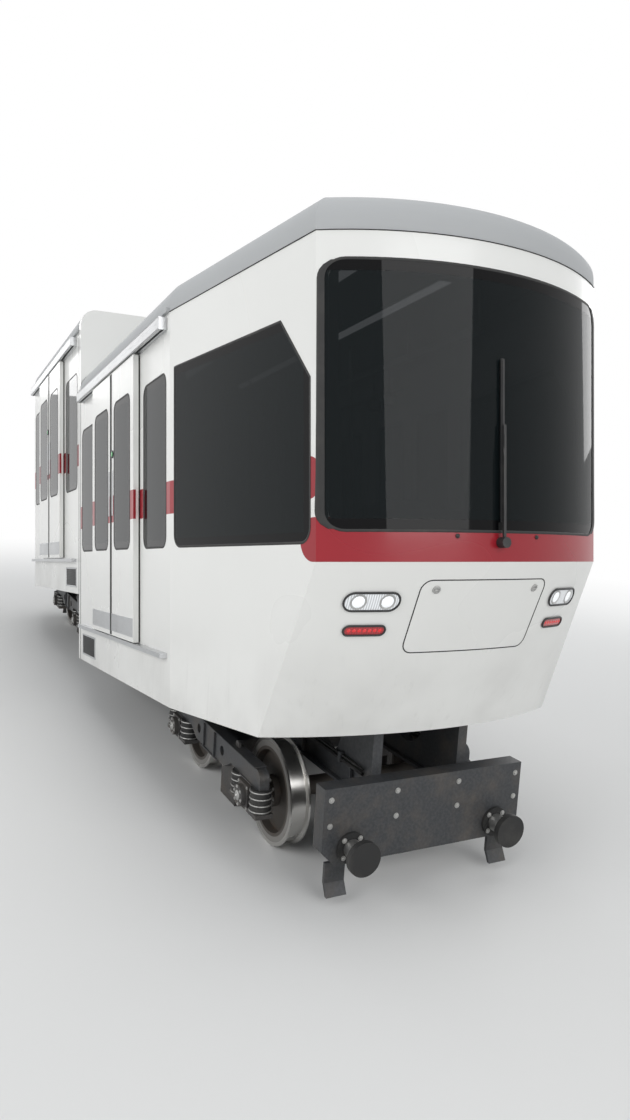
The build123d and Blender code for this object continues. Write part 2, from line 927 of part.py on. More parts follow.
def nose_front(z, y):
    """X of the end cap's outer face at a height and a distance from the middle."""
    front = corner_line(z)
    half = half_width - (front - taper_start) * math.tan(math.radians(taper))
    radius = (half ** 2 + nose_bulge ** 2) / (2 * nose_bulge)
    return front + nose_bulge - radius + math.sqrt(radius ** 2 - y ** 2)


def lamp_block(width, height, y, below_knee):
    """Slot-shaped lamp along X through the raked end cap, with a flat front."""
    z = knee - below_knee
    front = nose_front(z, y) + lamp_stand_out
    plane = Plane(origin=(front - lamp_depth, y, z), x_dir=(0, 1, 0), z_dir=(1, 0, 0))
    return extrude(plane * SlotOverall(width, height), lamp_depth, dir=(1, 0, 0))


def make_wiper():
    """Upright wiper at the middle of the windscreen: foot in the end cap, arm and blade."""
    front = corner_x + nose_bulge
    foot_z = uphill_floor + screen_bottom - 2 * wiper_foot_radius
    foot = Pos(front, 0, foot_z) * Rot(0, 90, 0) * Cylinder(
        wiper_foot_radius, 3 * wiper_arm, align=(Align.CENTER, Align.CENTER, Align.MIN),
    )
    arm = block(
        (front + wiper_stand_off, front + wiper_stand_off + wiper_blade),
        (-wiper_arm / 2, wiper_arm / 2),
        (foot_z, foot_z + wiper_length),
    )
    start = uphill_floor + screen_bottom + wiper_blade_start
    blade = block(
        (front + wiper_blade_gap, front + wiper_stand_off),
        (-wiper_blade / 2, wiper_blade / 2),
        (start, start + wiper_blade_length),
    )
    return foot + arm + blade


def make_seat():
    """Bench along the left wall: a pedestal and one shell with a leaning back."""
    along = (seat_start, seat_start + seat_length)
    inner = half_width - wall
    front = inner - seat_depth
    pan_top = uphill_floor + seat_height
    back_top = pan_top + back_height
    back = inner - back_thickness
    shell = make_face(Polyline(
        (inner, pan_top - seat_pan),
        (inner, back_top),
        (back, back_top),
        (back - seat_lean, pan_top),
        (front, pan_top + seat_lip),
        (front, pan_top - seat_pan),
        close=True,
    ))
    shell = fillet(shell.vertices(), seat_edge)
    middle = (along[0] + along[1]) / 2
    seat = extrude(Plane.YZ.offset(middle) * shell, seat_length / 2, both=True)
    leg = (middle - seat_leg, middle + seat_leg)
    leg_y = inner - seat_depth / 2
    seat += block(leg, (leg_y - seat_leg, leg_y + seat_leg), (uphill_floor, pan_top - seat_pan))
    return seat


def make_pole(x):
    """Grab pole from the floor to the ceiling."""
    height = wall_height + roof_rise - wall
    return Pos(x, pole_y, uphill_floor) * Cylinder(
        pole_radius, height, align=(Align.CENTER, Align.CENTER, Align.MIN),
    )


def make_handrail():
    """Rail on the left wall over the stair, bent at its head and foot, on three brackets."""
    y = half_width - wall - handrail_wall_gap
    low = downhill_floor + handrail_height
    high = uphill_floor + handrail_height
    path = Polyline(
        (-handrail_half_length, y, low),
        (-handrail_bend, y, low),
        (handrail_bend, y, high),
        (handrail_half_length, y, high),
    )
    section = Plane(origin=(-handrail_half_length, y, low), z_dir=(1, 0, 0)) * Circle(pole_radius)
    rail = sweep(section, path, transition=Transition.ROUND)
    for x in handrail_brackets:
        share = min(max((x + handrail_bend) / (2 * handrail_bend), 0), 1)
        height = low + share * (high - low)
        rail += Pos(x, y + handrail_wall_gap / 2, height) * Rot(90, 0, 0) * Cylinder(
            handrail_bracket_radius, handrail_wall_gap,
        )
    return rail


def make_desk():
    """Driver's desk against the end cap, with a sloping top."""
    front = nose_front(uphill_floor, desk_half_width) - wall - desk_nose_gap
    profile = Plane.XZ * make_face(Polyline(
        (front - desk_depth, uphill_floor),
        (front, uphill_floor),
        (front, uphill_floor + desk_height),
        (front - desk_depth, uphill_floor + desk_height - desk_slope),
        close=True,
    ))
    return extrude(profile, desk_half_width, both=True)


def both_sides(shapes):
    """Left and right copies."""
    return [*shapes, *(mirrored(s) for s in shapes)]


def both_ends(shapes):
    """Uphill and downhill copies."""
    return [*shapes, *(lower(s) for s in shapes)]


def build_car():
    """Every node of the car in the track frame, by name."""
    nodes = {}
    side, cap, screen = make_body()
    roof = make_roof()
    end_glass = end_pane(0, pane)
    panes = [end_glass] + [straight_pane(w, 0, half_width, pane) for w in (stair_window, bay_window)]

    headlamps = [lamp_block(lamp_width, lamp_height, s * lamp_y, headlamp_below_knee) for s in (-1, 1)]
    tail_lamps = [
        lamp_block(tail_lamp_width, tail_lamp_height, s * lamp_y, tail_lamp_below_knee)
        for s in (-1, 1)
    ]
    for lamp in headlamps + tail_lamps:
        cap -= lamp

    for place, copy in (("uphill", lambda s: s), ("downhill", lower)):
        nodes[f"side_wall_left_{place}"] = copy(side)
        nodes[f"side_wall_right_{place}"] = copy(mirrored(side))
        nodes[f"end_cap_{place}"] = copy(cap)
        nodes[f"windscreen_{place}"] = copy(screen)
        nodes[f"roof_{place}"] = copy(roof)
        for hand, turn in (("left", lambda s: s), ("right", mirrored)):
            for leaf_side, leaf_name in ((-1, "inner"), (1, "outer")):
                leaf, glass = make_leaf(leaf_side)
                nodes[f"door_{hand}_{place}_{leaf_name}"] = copy(turn(leaf))
                nodes[f"door_glass_{hand}_{place}_{leaf_name}"] = copy(turn(glass))
    nodes["side_glass_left"] = both_ends(panes)
    nodes["side_glass_right"] = [mirrored(p) for p in both_ends(panes)]
    nodes["portal"] = make_portal()
    nodes["floor"] = make_floor()
    nodes["door_runners"] = both_ends(both_sides(make_runner()))
    nodes["roof_units"] = both_ends([make_roof_unit()])
    nodes["headlamps"] = both_ends(headlamps)
    nodes["tail_lamps"] = both_ends(tail_lamps)
    nodes["wipers"] = both_ends([make_wiper()])
    nodes["seats"] = both_ends(both_sides([make_seat()]))
    nodes["grab_poles"] = both_ends(both_sides([make_pole(x) for x in pole_places]))
    nodes["handrails"] = both_sides([make_handrail()])
    nodes["control_desks"] = both_ends([make_desk()])
    nodes["outriggers"] = both_ends([arm for x in outrigger_places for arm in make_outrigger(x)])
    nodes = {name: level(Compound(children=listed(shape))) for name, shape in nodes.items()}

    nodes["girders"] = make_girders()
    nodes["pivot_beams"] = make_pivot_beams()
    nodes["headstocks"] = make_headstocks()
    nodes["rail_guards"] = make_rail_guards()
    nodes["rope_anchor"] = make_rope_anchor()
    nodes["buffers"] = make_buffers()
    nodes["equipment_cases"] = make_cases()
    for place, end in (("uphill", 1), ("downhill", -1)):
        centre = Pos(bogie_middle + end * bogie_spacing / 2, 0, 0)
        nodes[f"bogie_frame_{place}"] = centre * make_bogie_frame()
        nodes[f"axle_boxes_{place}"] = [centre * box for box in make_axle_boxes()]
        nodes[f"springs_{place}"] = [centre * spring for spring in make_springs()]
        nodes[f"rail_brakes_{place}"] = [centre * brake for brake in make_rail_brakes()]
        for n, x in enumerate((-wheelbase / 2, wheelbase / 2), start=1):
            nodes[f"wheelset_{place}_{n}"] = centre * Pos(x, 0, 0) * make_wheelset()
    return nodes


def listed(shape):
    """A node's solids as a list."""
    pieces = shape if isinstance(shape, list) else [shape]
    return [solid for piece in pieces for solid in piece.solids()]


def main():
    """Place the car over its own middle and write one file for each node."""
    os.makedirs("parts", exist_ok=True)
    nodes = {name: Compound(children=listed(shape)) for name, shape in build_car().items()}
    boxes = [shape.bounding_box() for shape in nodes.values()]
    middle_x = (min(b.min.X for b in boxes) + max(b.max.X for b in boxes)) / 2
    home = Pos(-middle_x, 0, flange_height)
    for name, shape in nodes.items():
        export_step(home * shape, f"parts/{name}.step")
    print(f"middle_x {middle_x:.4f}")


main()
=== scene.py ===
"""Looks of a funicular car: enamel and livery, tinted glazing, running gear and cabin fittings.

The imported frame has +X uphill along the track, +Y to the car's left and +Z away from the rails.
The car's floors and walls are square to a level frame that is turned about Y by the design
slope. Sizes of the level frame are heights over each compartment's floor and distances from
the middle of the car, so both compartments are dressed by the same code. Lengths are metres.
"""
import logging
import math
from dataclasses import dataclass
from enum import Enum
from functools import cache
from itertools import product
from typing import Callable, Iterable, Protocol, Sequence

import bmesh
import bpy
import numpy as np
from mathutils import Matrix, Vector


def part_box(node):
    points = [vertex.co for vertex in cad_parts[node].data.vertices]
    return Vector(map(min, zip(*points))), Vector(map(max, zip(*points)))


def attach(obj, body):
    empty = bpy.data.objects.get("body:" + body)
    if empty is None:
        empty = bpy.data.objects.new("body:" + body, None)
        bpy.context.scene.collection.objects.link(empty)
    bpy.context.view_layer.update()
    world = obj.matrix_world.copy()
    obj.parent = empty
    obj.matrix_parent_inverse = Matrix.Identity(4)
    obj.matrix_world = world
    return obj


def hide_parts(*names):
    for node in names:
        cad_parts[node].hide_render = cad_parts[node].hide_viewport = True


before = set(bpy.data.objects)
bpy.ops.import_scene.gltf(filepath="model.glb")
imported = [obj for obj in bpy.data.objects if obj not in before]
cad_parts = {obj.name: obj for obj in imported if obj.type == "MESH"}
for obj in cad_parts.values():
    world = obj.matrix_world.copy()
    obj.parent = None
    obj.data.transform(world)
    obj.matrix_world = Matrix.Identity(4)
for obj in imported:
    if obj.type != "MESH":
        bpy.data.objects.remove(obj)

log = logging.getLogger("funicular_car")
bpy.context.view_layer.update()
Array = np.ndarray
Colour = tuple[float, float, float]
Pair = tuple[float, float]
Place = tuple[float, float, float]
Profile = tuple[Pair, ...]


class Hand(Enum):
    """Side of the car, as seen by someone who faces uphill."""

    LEFT = 1
    RIGHT = -1

    @property
    def label(self) -> str:
        """Word that the frame's nodes use for this side."""
        return self.name.lower()


class End(Enum):
    """End of the car: the compartment that leads uphill, or the one that follows."""

    UPHILL = 1
    DOWNHILL = -1

    @property
    def label(self) -> str:
        """Word that the frame's nodes use for this end."""
        return self.name.lower()


QUARTERS = tuple(product(End, Hand))
ENDS = tuple(product(End, (Hand.LEFT,)))
WAYS = (-1, 1)
FORWARD, OUTWARD, UPWARD = (1.0, 0.0, 0.0), (0.0, 1.0, 0.0), (0.0, 0.0, 1.0)


@dataclass(frozen=True)
class Plan:
    """Driving sizes of the car that the dressing is worked out from."""

    slope: float = math.radians(7.6)
    middle: float = 0.2897222
    flange: float = 0.020
    upper_floor: float = 1.300
    step: float = 0.586
    half_width: float = 1.100
    wall: float = 0.060
    taper_start: float = 2.800
    corner: float = 4.290
    corner_half_width: float = 0.864
    nose_bulge: float = 0.250
    knee: float = 0.543
    rake: float = math.radians(29)
    skirt_drop: float = 0.350
    wall_height: float = 2.060
    roof_rise: float = 0.200
    ceiling: float = 2.200
    band_bottom: float = 0.630
    band_top: float = 1.710
    corner_strip: float = 0.047
    screen_low: float = 0.685
    screen_high: float = 1.930
    doorway_centre: float = 1.450
    doorway_width: float = 1.300
    leaf_outer: float = 1.148

    def floor(self, end: End) -> float:
        """Height of a compartment's floor in the level frame."""
        return self.upper_floor if end is End.UPHILL else self.upper_floor - self.step

    @property
    def nose(self) -> float:
        """Distance of the end cap's foremost point from the middle of the car."""
        return self.corner + self.nose_bulge

    @property
    def roof_top(self) -> float:
        """Height of the roof over the floor."""
        return self.wall_height + self.roof_rise

    @property
    def screen_middle(self) -> float:
        """Height of the windscreen's middle over the floor."""
        return (self.screen_low + self.screen_high) / 2

    @property
    def taper(self) -> float:
        """Angle in plan between the car's axis and the tapered part of its sides."""
        return math.atan2(self.half_width - self.corner_half_width, self.corner - self.taper_start)

    def turned(self, points: Array) -> Array:
        """Turn points or directions of the level frame about Y by the design slope.

        Args:
            points: Array whose last axis holds the coordinates.

        Returns:
            The turned array.
        """
        x, y, z = points[..., 0], points[..., 1], points[..., 2]
        cos, sin = math.cos(self.slope), math.sin(self.slope)
        return np.stack([x * cos + z * sin, y, z * cos - x * sin], axis=-1)

    def track(self, points: Array) -> Array:
        """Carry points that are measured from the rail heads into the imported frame."""
        return points + np.array([-self.middle, 0.0, self.flange])

    def place(self, points: Array, end: End = End.UPHILL) -> Array:
        """Carry points (along, across, height over the floor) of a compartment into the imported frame."""
        level = points * np.array([end.value, 1.0, 1.0]) + np.array([0.0, 0.0, self.floor(end)])
        return self.track(self.turned(level))

    def corner_line(self, height: Array | float) -> Array:
        """Distance of the body corner from the middle: upright over the knee, raked below it."""
        return self.corner - np.maximum(self.knee - np.asarray(height, float), 0.0) * math.tan(self.rake)

    def side_y(self, along: Array | float) -> Array:
        """Half width of the outer side: straight, then tapered towards the corner."""
        beyond = np.maximum(np.asarray(along, float) - self.taper_start, 0.0)
        return self.half_width - beyond * math.tan(self.taper)

    def nose_x(self, across: Array | float, height: Array | float) -> Array:
        """Distance of the end cap's face from the middle.

        At each height the face is a circular arc in plan through both corners. With half
        the chord h and the bulge b its radius is (h^2 + b^2) / 2b.

        Args:
            across: Distances from the car's middle plane.
            height: Heights over the floor.

        Returns:
            Distances along the car.
        """
        corner = self.corner_line(height)
        half = self.side_y(corner)
        radius = (half ** 2 + self.nose_bulge ** 2) / (2 * self.nose_bulge)
        return corner + self.nose_bulge - radius + np.sqrt(radius ** 2 - np.asarray(across, float) ** 2)

    def out_of_nose(self, points: Array) -> Array:
        """Lay points (out of the face, across, height) on the end cap."""
        out, across, height = points[..., 0], points[..., 1], points[..., 2]
        return np.stack([self.nose_x(across, height) + out, across, height], axis=-1)

    def on_nose(self, flat: Array) -> Array:
        """Lay points (across, height) on the face of the end cap."""
        return self.out_of_nose(np.insert(flat, 0, 0.0, axis=1))


CAR = Plan()


class Term:
    """A number in a node tree, so that shader maths reads as an expression."""

    def __init__(self, nodes: "Nodes", socket: bpy.types.NodeSocket) -> None:
        """Keep the tree and the output socket that carries the number."""
        self.nodes = nodes
        self.socket = socket

    def math(self, operation: str, *others: "Term | float", flip: bool = False) -> "Term":
        """Add a Math node on this term.

        Args:
            operation: Operation of the Math node.
            others: Further inputs, numbers or terms.
            flip: Put the first of the others before this term.

        Returns:
            Term on the node's output.
        """
        values = [self, *others]
        if flip:
            values[0], values[1] = values[1], values[0]
        node = self.nodes.node("ShaderNodeMath", {"operation": operation}, dict(enumerate(values)))
        return Term(self.nodes, node.outputs[0])

    def __add__(self, other: "Term | float") -> "Term":
        """Sum."""
        return self.math("ADD", other)

    __radd__ = __add__

    def __sub__(self, other: "Term | float") -> "Term":
        """Difference."""
        return self.math("SUBTRACT", other)

    def __rsub__(self, other: float) -> "Term":
        """Difference from a number."""
        return self.math("SUBTRACT", other, flip=True)

    def __mul__(self, other: "Term | float") -> "Term":
        """Product."""
        return self.math("MULTIPLY", other)

    __rmul__ = __mul__

    def __abs__(self) -> "Term":
        """Size without sign."""
        return self.math("ABSOLUTE")

    def most(self, other: "Term | float") -> "Term":
        """Larger of two."""
        return self.math("MAXIMUM", other)

    def least(self, other: "Term | float") -> "Term":
        """Smaller of two."""
        return self.math("MINIMUM", other)

    def over(self, other: "Term | float") -> "Term":
        """One where this term is larger, else nought."""
        return self.math("GREATER_THAN", other)

    def root(self) -> "Term":
        """Square root."""
        return self.math("SQRT")

    def sine(self) -> "Term":
        """Sine."""
        return self.math("SINE")

    def off_centre(self, pitch: float) -> "Term":
        """Place within a repeat of the pitch, from -0.5 to 0.5."""
        return (self * (1 / pitch)).math("FRACT") - 0.5

    def soft(self, low: float, high: float) -> "Term":
        """Smooth step from nought to one.

        Args:
            low: Value where it is nought.
            high: Value where it is one.

        Returns:
            Term on the node's output.
        """
        node = self.nodes.node(
            "ShaderNodeMapRange", {"interpolation_type": "SMOOTHSTEP"},
            {"Value": self, "From Min": low, "From Max": high, "To Min": 0.0, "To Max": 1.0},
        )
        return Term(self.nodes, node.outputs["Result"])


def length(first: Term, second: Term) -> Term:
    """Length of a step whose two parts are square to each other."""
    return (first * first + second * second).root()


class Nodes:
    """Node tree of a material or world, with a single method that adds any node."""

    def __init__(self, tree: bpy.types.NodeTree) -> None:
        """Take over a tree and empty it."""
        self.tree = tree
        self.tree.nodes.clear()

    def node(self, kind: str, settings: dict, values: dict) -> bpy.types.Node:
        """Add a node.

        Args:
            kind: Node type.
            settings: Properties, which are set first.
            values: Values, terms or sockets for the inputs, by name or place.

        Returns:
            The new node.
        """
        node = self.tree.nodes.new(kind)
        for key, value in settings.items():
            setattr(node, key, value)
        for key, value in values.items():
            if isinstance(value, Term):
                value = value.socket
            if isinstance(value, bpy.types.NodeSocket):
                self.tree.links.new(value, node.inputs[key])
            else:
                node.inputs[key].default_value = value
        return node

    def seen(self) -> Term:
        """Mask of the rays that the camera sees straight, in a reflection or through glass.

        Returns:
            Term that is one for those rays.
        """
        path = self.node("ShaderNodeLightPath", {}, {})
        camera, glossy, through = (
            Term(self, path.outputs[f"Is {kind} Ray"]) for kind in ("Camera", "Glossy", "Transmission")
        )
        return camera.most(glossy).most(through)


class Shading(Nodes):
    """Node tree of one material, with what the finishes share."""

    def __init__(self, name: str) -> None:
        """Make an empty material with an output node.

        Args:
            name: Name of the material.
        """
        self.material = bpy.data.materials.new(name)
        self.material.use_nodes = True
        super().__init__(self.material.node_tree)
        self.output = self.node("ShaderNodeOutputMaterial", {}, {})
        self.place = self.node("ShaderNodeTexCoord", {}, {}).outputs["Object"]
        split = self.node("ShaderNodeSeparateXYZ", {}, {"Vector": self.place})
        self.x, self.y, self.z = (Term(self, socket) for socket in split.outputs)

    def noise(self, scale: float, detail: float = 3.0, roughness: float = 0.5,
              stretch: Sequence[float] | None = None) -> Term:
        """Noise in the piece's own space.

        Args:
            scale: Waves per metre.
            detail: Octaves.
            roughness: Weight of the finer octaves.
            stretch: Factors on the coordinates along the three axes.

        Returns:
            Noise value from nought to one.
        """
        vector = self.place
        if stretch is not None:
            vector = self.node("ShaderNodeMapping", {}, {"Vector": self.place, "Scale": stretch}).outputs[0]
        node = self.node(
            "ShaderNodeTexNoise", {},
            {"Vector": vector, "Scale": scale, "Detail": detail, "Roughness": roughness},
        )
        return Term(self, node.outputs["Fac"])

    def blend(self, factor: Term, first: Colour | bpy.types.NodeSocket,
              second: Colour | bpy.types.NodeSocket) -> bpy.types.NodeSocket:
        """Mix two colours.

        Args:
            factor: Share of the second colour.
            first: Colour where the factor is nought.
            second: Colour where it is one.

        Returns:
            Colour socket.
        """
        first, second = (c if isinstance(c, bpy.types.NodeSocket) else (*c, 1.0) for c in (first, second))
        node = self.node(
            "ShaderNodeMix", {"data_type": "RGBA", "clamp_factor": True}, {0: factor, 6: first, 7: second}
        )
        return node.outputs[2]

    def bump(self, height: Term, strength: float, distance: float) -> bpy.types.NodeSocket:
        """Normal from a height in steps of a distance."""
        values = {"Height": height, "Strength": strength, "Distance": distance}
        return self.node("ShaderNodeBump", {}, values).outputs["Normal"]

    def finish(self, surface: bpy.types.Node) -> bpy.types.Material:
        """Connect the surface shader and give the material."""
        self.tree.links.new(surface.outputs[0], self.output.inputs["Surface"])
        return self.material

    def principled(self, values: dict) -> bpy.types.Material:
        """Close the material with a Principled shader that has these values."""
        return self.finish(self.node("ShaderNodeBsdfPrincipled", {}, values))

    def level(self) -> tuple[Term, Term]:
        """Level-frame coordinates of the shaded point.

        The inverse of the design slope's turn gives the distance along and the absolute
        height. The compartment follows from the sign of the distance, and the height is
        counted from that compartment's floor.

        Returns:
            Distance from the car's middle without sign, and height over the floor.
        """
        cos, sin = math.cos(CAR.slope), math.sin(CAR.slope)
        x = self.x + CAR.middle
        z = self.z - CAR.flange
        along = x * cos - z * sin
        rise = x * sin + z * cos
        uphill = along.over(0.0)
        height = rise - CAR.floor(End.DOWNHILL) - uphill * CAR.step
        return abs(along), height


def shade(colour: Colour, share: float) -> Colour:
    """The same colour, darker or lighter by a factor."""
    return tuple(min(1.0, part * share) for part in colour)


class Finish(Protocol):
    """What every finish has: a name, and a method that makes its material."""

    @property
    def name(self) -> str:
        """Name of the material."""

    def build(self) -> bpy.types.Material:
        """Make the material."""


class Livery(Enum):
    """Where a white panel carries the red bands."""

    PLAIN = "plain"
    SIDE = "side"
    CAP = "cap"


@dataclass(frozen=True)
class Enamel:
    """Gloss enamel on sheet metal, with the two red bands where the panel has them.

    On the sides the upper band starts with a half circle near the corner and runs back
    along the body; the lower band comes round from the end and closes with a half circle.
    """

    name: str
    colour: Colour = (0.80, 0.80, 0.775)
    red: Colour = (0.33, 0.012, 0.022)
    film_colour: Colour = (0.10, 0.085, 0.07)
    livery: Livery = Livery.PLAIN
    roughness: float = 0.28
    specular: float = 0.36
    coat: float = 0.16
    coat_roughness: float = 0.08
    upper_centre: float = 0.931
    upper_radius: float = 0.100
    upper_start: float = 0.057
    lower_centre: float = 0.644
    lower_radius: float = 0.103
    lower_end: float = 0.022
    cap_lean: float = 1.007
    outer: float = CAR.half_width - CAR.wall / 2
    edge: float = 0.0008
    film_top: float = 0.34
    film_foot: float = -0.38
    grime: float = 0.24

    def cap_place(self, along: Term, across: Term) -> tuple[Term, Term]:
        """Where a point of an end cap lies for the bands.

        Args:
            along: Distance from the car's middle.
            across: Distance from the middle plane.

        Returns:
            Distance back from the body corner, and one on the outer face of the cap.
        """
        half, bulge = CAR.corner_half_width, CAR.nose_bulge
        radius = (half ** 2 + bulge ** 2) / (2 * bulge)
        back = (across - half) * (1 / math.sin(self.cap_lean))
        face = (across * across * -1.0 + radius ** 2).root() + (CAR.corner + bulge - radius)
        return back, along.over(face - CAR.wall / 4)

    def side_place(self, along: Term, across: Term) -> tuple[Term, Term]:
        """Where a point of a side wall or leaf lies for the bands.

        Args:
            along: Distance from the car's middle.
            across: Distance from the middle plane.

        Returns:
            Distance back from the body corner, and one on the outer face of the panel.
        """
        back = (CAR.corner - along) * (1 / math.cos(CAR.taper))
        taper = (along - CAR.taper_start).most(0.0) * math.tan(CAR.taper)
        return back, (across + taper).over(self.outer)

    def band(self, past: Term, rise: Term, radius: float) -> Term:
        """Mask of the points nearer than a radius to a line's last point, or to the line beside it."""
        return length(past.most(0.0), rise).soft(radius + self.edge, radius - self.edge)

    def red_share(self, shading: Shading) -> Term:
        """Mask of both red bands on the outer face of a panel.

        Args:
            shading: Material that is being made.

        Returns:
            Term that is one in the bands.
        """
        along, height = shading.level()
        place = self.cap_place if self.livery is Livery.CAP else self.side_place
        back, outside = place(along, abs(shading.y))
        upper = self.band(self.upper_start - back, height - self.upper_centre, self.upper_radius)
        lower = self.band(back - self.lower_end, height - self.lower_centre, self.lower_radius)
        return upper.most(lower) * outside

    def build(self) -> bpy.types.Material:
        """Make the material: enamel with orange peel, road film low down and faint streaks.

        Returns:
            The material.
        """
        shading = Shading(self.name)
        _, height = shading.level()
        tone = shading.noise(0.7, detail=1.0).soft(0.3, 0.7)
        cloud = shading.noise(2.2)
        streaks = shading.noise(1.0, detail=4.0, roughness=0.6, stretch=(24.0, 24.0, 1.3))
        low = height.soft(self.film_top, self.film_foot)
        film = (low * cloud.soft(0.3, 0.75) * 0.75 + streaks.soft(0.55, 0.85) * low * 0.5) * self.grime
        base = shading.blend(tone, shade(self.colour, 0.97), self.colour)
        if self.livery is not Livery.PLAIN:
            share = self.red_share(shading)
            base = shading.blend(share, base, shading.blend(tone, shade(self.red, 0.86), self.red))
        base = shading.blend(film, base, self.film_colour)
        peel = shading.noise(420.0, detail=2.0)
        wave = shading.noise(3.0, detail=2.0)
        return shading.principled({
            "Base Color": base,
            "Roughness": film * 0.5 + tone * 0.04 + (self.roughness - 0.02),
            "Normal": shading.bump(wave * 0.9 + peel * 0.05, 0.12, 0.01),
            "Specular IOR Level": self.specular,
            "Coat Weight": self.coat,
            "Coat Roughness": self.coat_roughness,
        })


@dataclass(frozen=True)
class TintedGlass:
    """Dark tinted pane: an opaque black rim, and a body that lets the cabin show faintly."""

    name: str
    tint: Colour = (0.006, 0.009, 0.010)
    rim: Colour = (0.004, 0.004, 0.0045)
    rim_width: float = 0.050
    rim_edge: float = 0.0015
    body: float = 0.93
    ior: float = 1.22
    verticals: tuple[Pair, ...] = ()
    low: float = CAR.band_bottom
    high: float = CAR.band_top

    def rim_share(self, shading: Shading) -> Term:
        """Mask of the rim, from the distance to the nearest edge of a pane.

        The distance is the smaller of that to the top or bottom and that to the nearest
        upright edge of the pane that holds the point.

        Args:
            shading: Material that is being made.

        Returns:
            Term that is one in the rim.
        """
        along, height = shading.level()
        distance = abs(height - (self.low + self.high) / 2) * -1.0 + (self.high - self.low) / 2
        sides = [abs(along - (start + end) / 2) * -1.0 + (end - start) / 2 for start, end in self.verticals]
        if sides:
            inside = sides[0]
            for side in sides[1:]:
                inside = inside.most(side)
            distance = distance.least(inside)
        return distance.soft(self.rim_width + self.rim_edge, self.rim_width - self.rim_edge)

    def build(self) -> bpy.types.Material:
        """Make the material: near-black gloss whose alpha falls a little inside the rim.

        Returns:
            The material.
        """
        shading = Shading(self.name)
        rim = self.rim_share(shading)
        haze = shading.noise(1.6, detail=4.0, roughness=0.6)
        smear = shading.noise(7.0, roughness=0.6, stretch=(1.0, 1.0, 0.3))
        return shading.principled({
            "Base Color": shading.blend(rim, self.tint, self.rim),
            "Roughness": haze.soft(0.35, 0.75) * 0.03 + smear.soft(0.5, 0.8) * 0.04 + 0.018,
            "Alpha": rim * (1.0 - self.body) + self.body,
            "IOR": self.ior,
            "Normal": shading.bump(shading.noise(1.4, detail=1.0), 0.05, 0.01),
        })


@dataclass(frozen=True)
class Metal:
    """Bare or painted metal of the running gear, with dust in noise patches and a fine grain of lighter
    colour.
    """

    name: str
    colour: Colour
    metallic: float = 0.0
    roughness: float = 0.5
    dust: float = 0.4
    dust_colour: Colour = (0.16, 0.13, 0.10)
    grain: float = 60.0
    grain_depth: float = 0.25

    def build(self) -> bpy.types.Material:
        """Make the material: cast or painted skin, brown rail dust and slight colour change.

        Returns:
            The material.
        """
        shading = Shading(self.name)
        patch = shading.noise(5.0, detail=5.0, roughness=0.62)
        fine = shading.noise(self.grain, detail=4.0, roughness=0.6)
        dusty = patch.soft(0.42, 0.78) * self.dust
        lighter = tuple(min(1.0, part * 1.35 + 0.01) for part in self.colour)
        base = shading.blend(fine.soft(0.35, 0.7), self.colour, lighter)
        return shading.principled({
            "Base Color": shading.blend(dusty, base, self.dust_colour),
            "Metallic": dusty * (-0.8 * self.metallic) + self.metallic,
            "Roughness": dusty * 0.35 + fine * 0.12 + (self.roughness - 0.06),
            "Normal": shading.bump(fine + patch * 0.6, self.grain_depth, 0.002),
        })


@dataclass(frozen=True)
class RolledSteel:
    """Turned steel of a wheelset: a polished running surface and oiled, dusty webs."""

    name: str
    wheel_x: float
    wheel_z: float
    tread_radius: float = 0.300
    tyre_inner: float = 0.262
    bright: Colour = (0.56, 0.55, 0.53)
    dull: Colour = (0.085, 0.075, 0.066)
    rust: Colour = (0.13, 0.08, 0.05)

    def build(self) -> bpy.types.Material:
        """Make the material: brightness follows the distance from the axle, with turning marks.

        Returns:
            The material.
        """
        shading = Shading(self.name)
        radius = length(shading.x - self.wheel_x, shading.z - self.wheel_z)
        worn = radius.soft(self.tread_radius - 0.006, self.tread_radius - 0.001)
        side = radius.soft(self.tyre_inner, self.tyre_inner + 0.006) * 0.45
        shine = worn.most(side)
        patch = shading.noise(9.0, detail=5.0, roughness=0.6)
        rings = (radius * 700.0).sine()
        base = shading.blend(shine, self.dull, self.bright)
        return shading.principled({
            "Base Color": shading.blend(patch.soft(0.55, 0.8) * 0.5 * (1 - worn), base, self.rust),
            "Metallic": shine * 0.7 + 0.3,
            "Roughness": shine * -0.28 + patch * 0.15 + 0.5,
            "Normal": shading.bump(rings * 0.4 + patch, 0.12, 0.0006),
        })


@dataclass(frozen=True)
class Moulded:
    """Rubber or moulded plastic with a fine leathery or matt skin."""

    name: str
    colour: Colour
    roughness: float = 0.55
    grain: float = 380.0
    depth: float = 0.2
    dust: float = 0.1
    dust_colour: Colour = (0.30, 0.28, 0.25)
    glow: float = 0.0
    coat: float = 0.0

    def build(self) -> bpy.types.Material:
        """Make the material: even colour, pebbled skin, pale dust in patches.

        Returns:
            The material.
        """
        shading = Shading(self.name)
        patch = shading.noise(6.0, detail=4.0, roughness=0.6)
        pebble = shading.noise(self.grain, detail=2.0)
        base = shading.blend(pebble.soft(0.3, 0.7), shade(self.colour, 0.88), self.colour)
        values = {
            "Base Color": shading.blend(patch.soft(0.45, 0.8) * self.dust, base, self.dust_colour),
            "Roughness": pebble * 0.08 + patch * 0.08 + (self.roughness - 0.08),
            "Normal": shading.bump(pebble, self.depth, 0.0006),
            "Coat Weight": self.coat,
        }
        if self.glow > 0:
            values |= {"Emission Color": (*self.colour, 1.0), "Emission Strength": self.glow}
        return shading.principled(values)


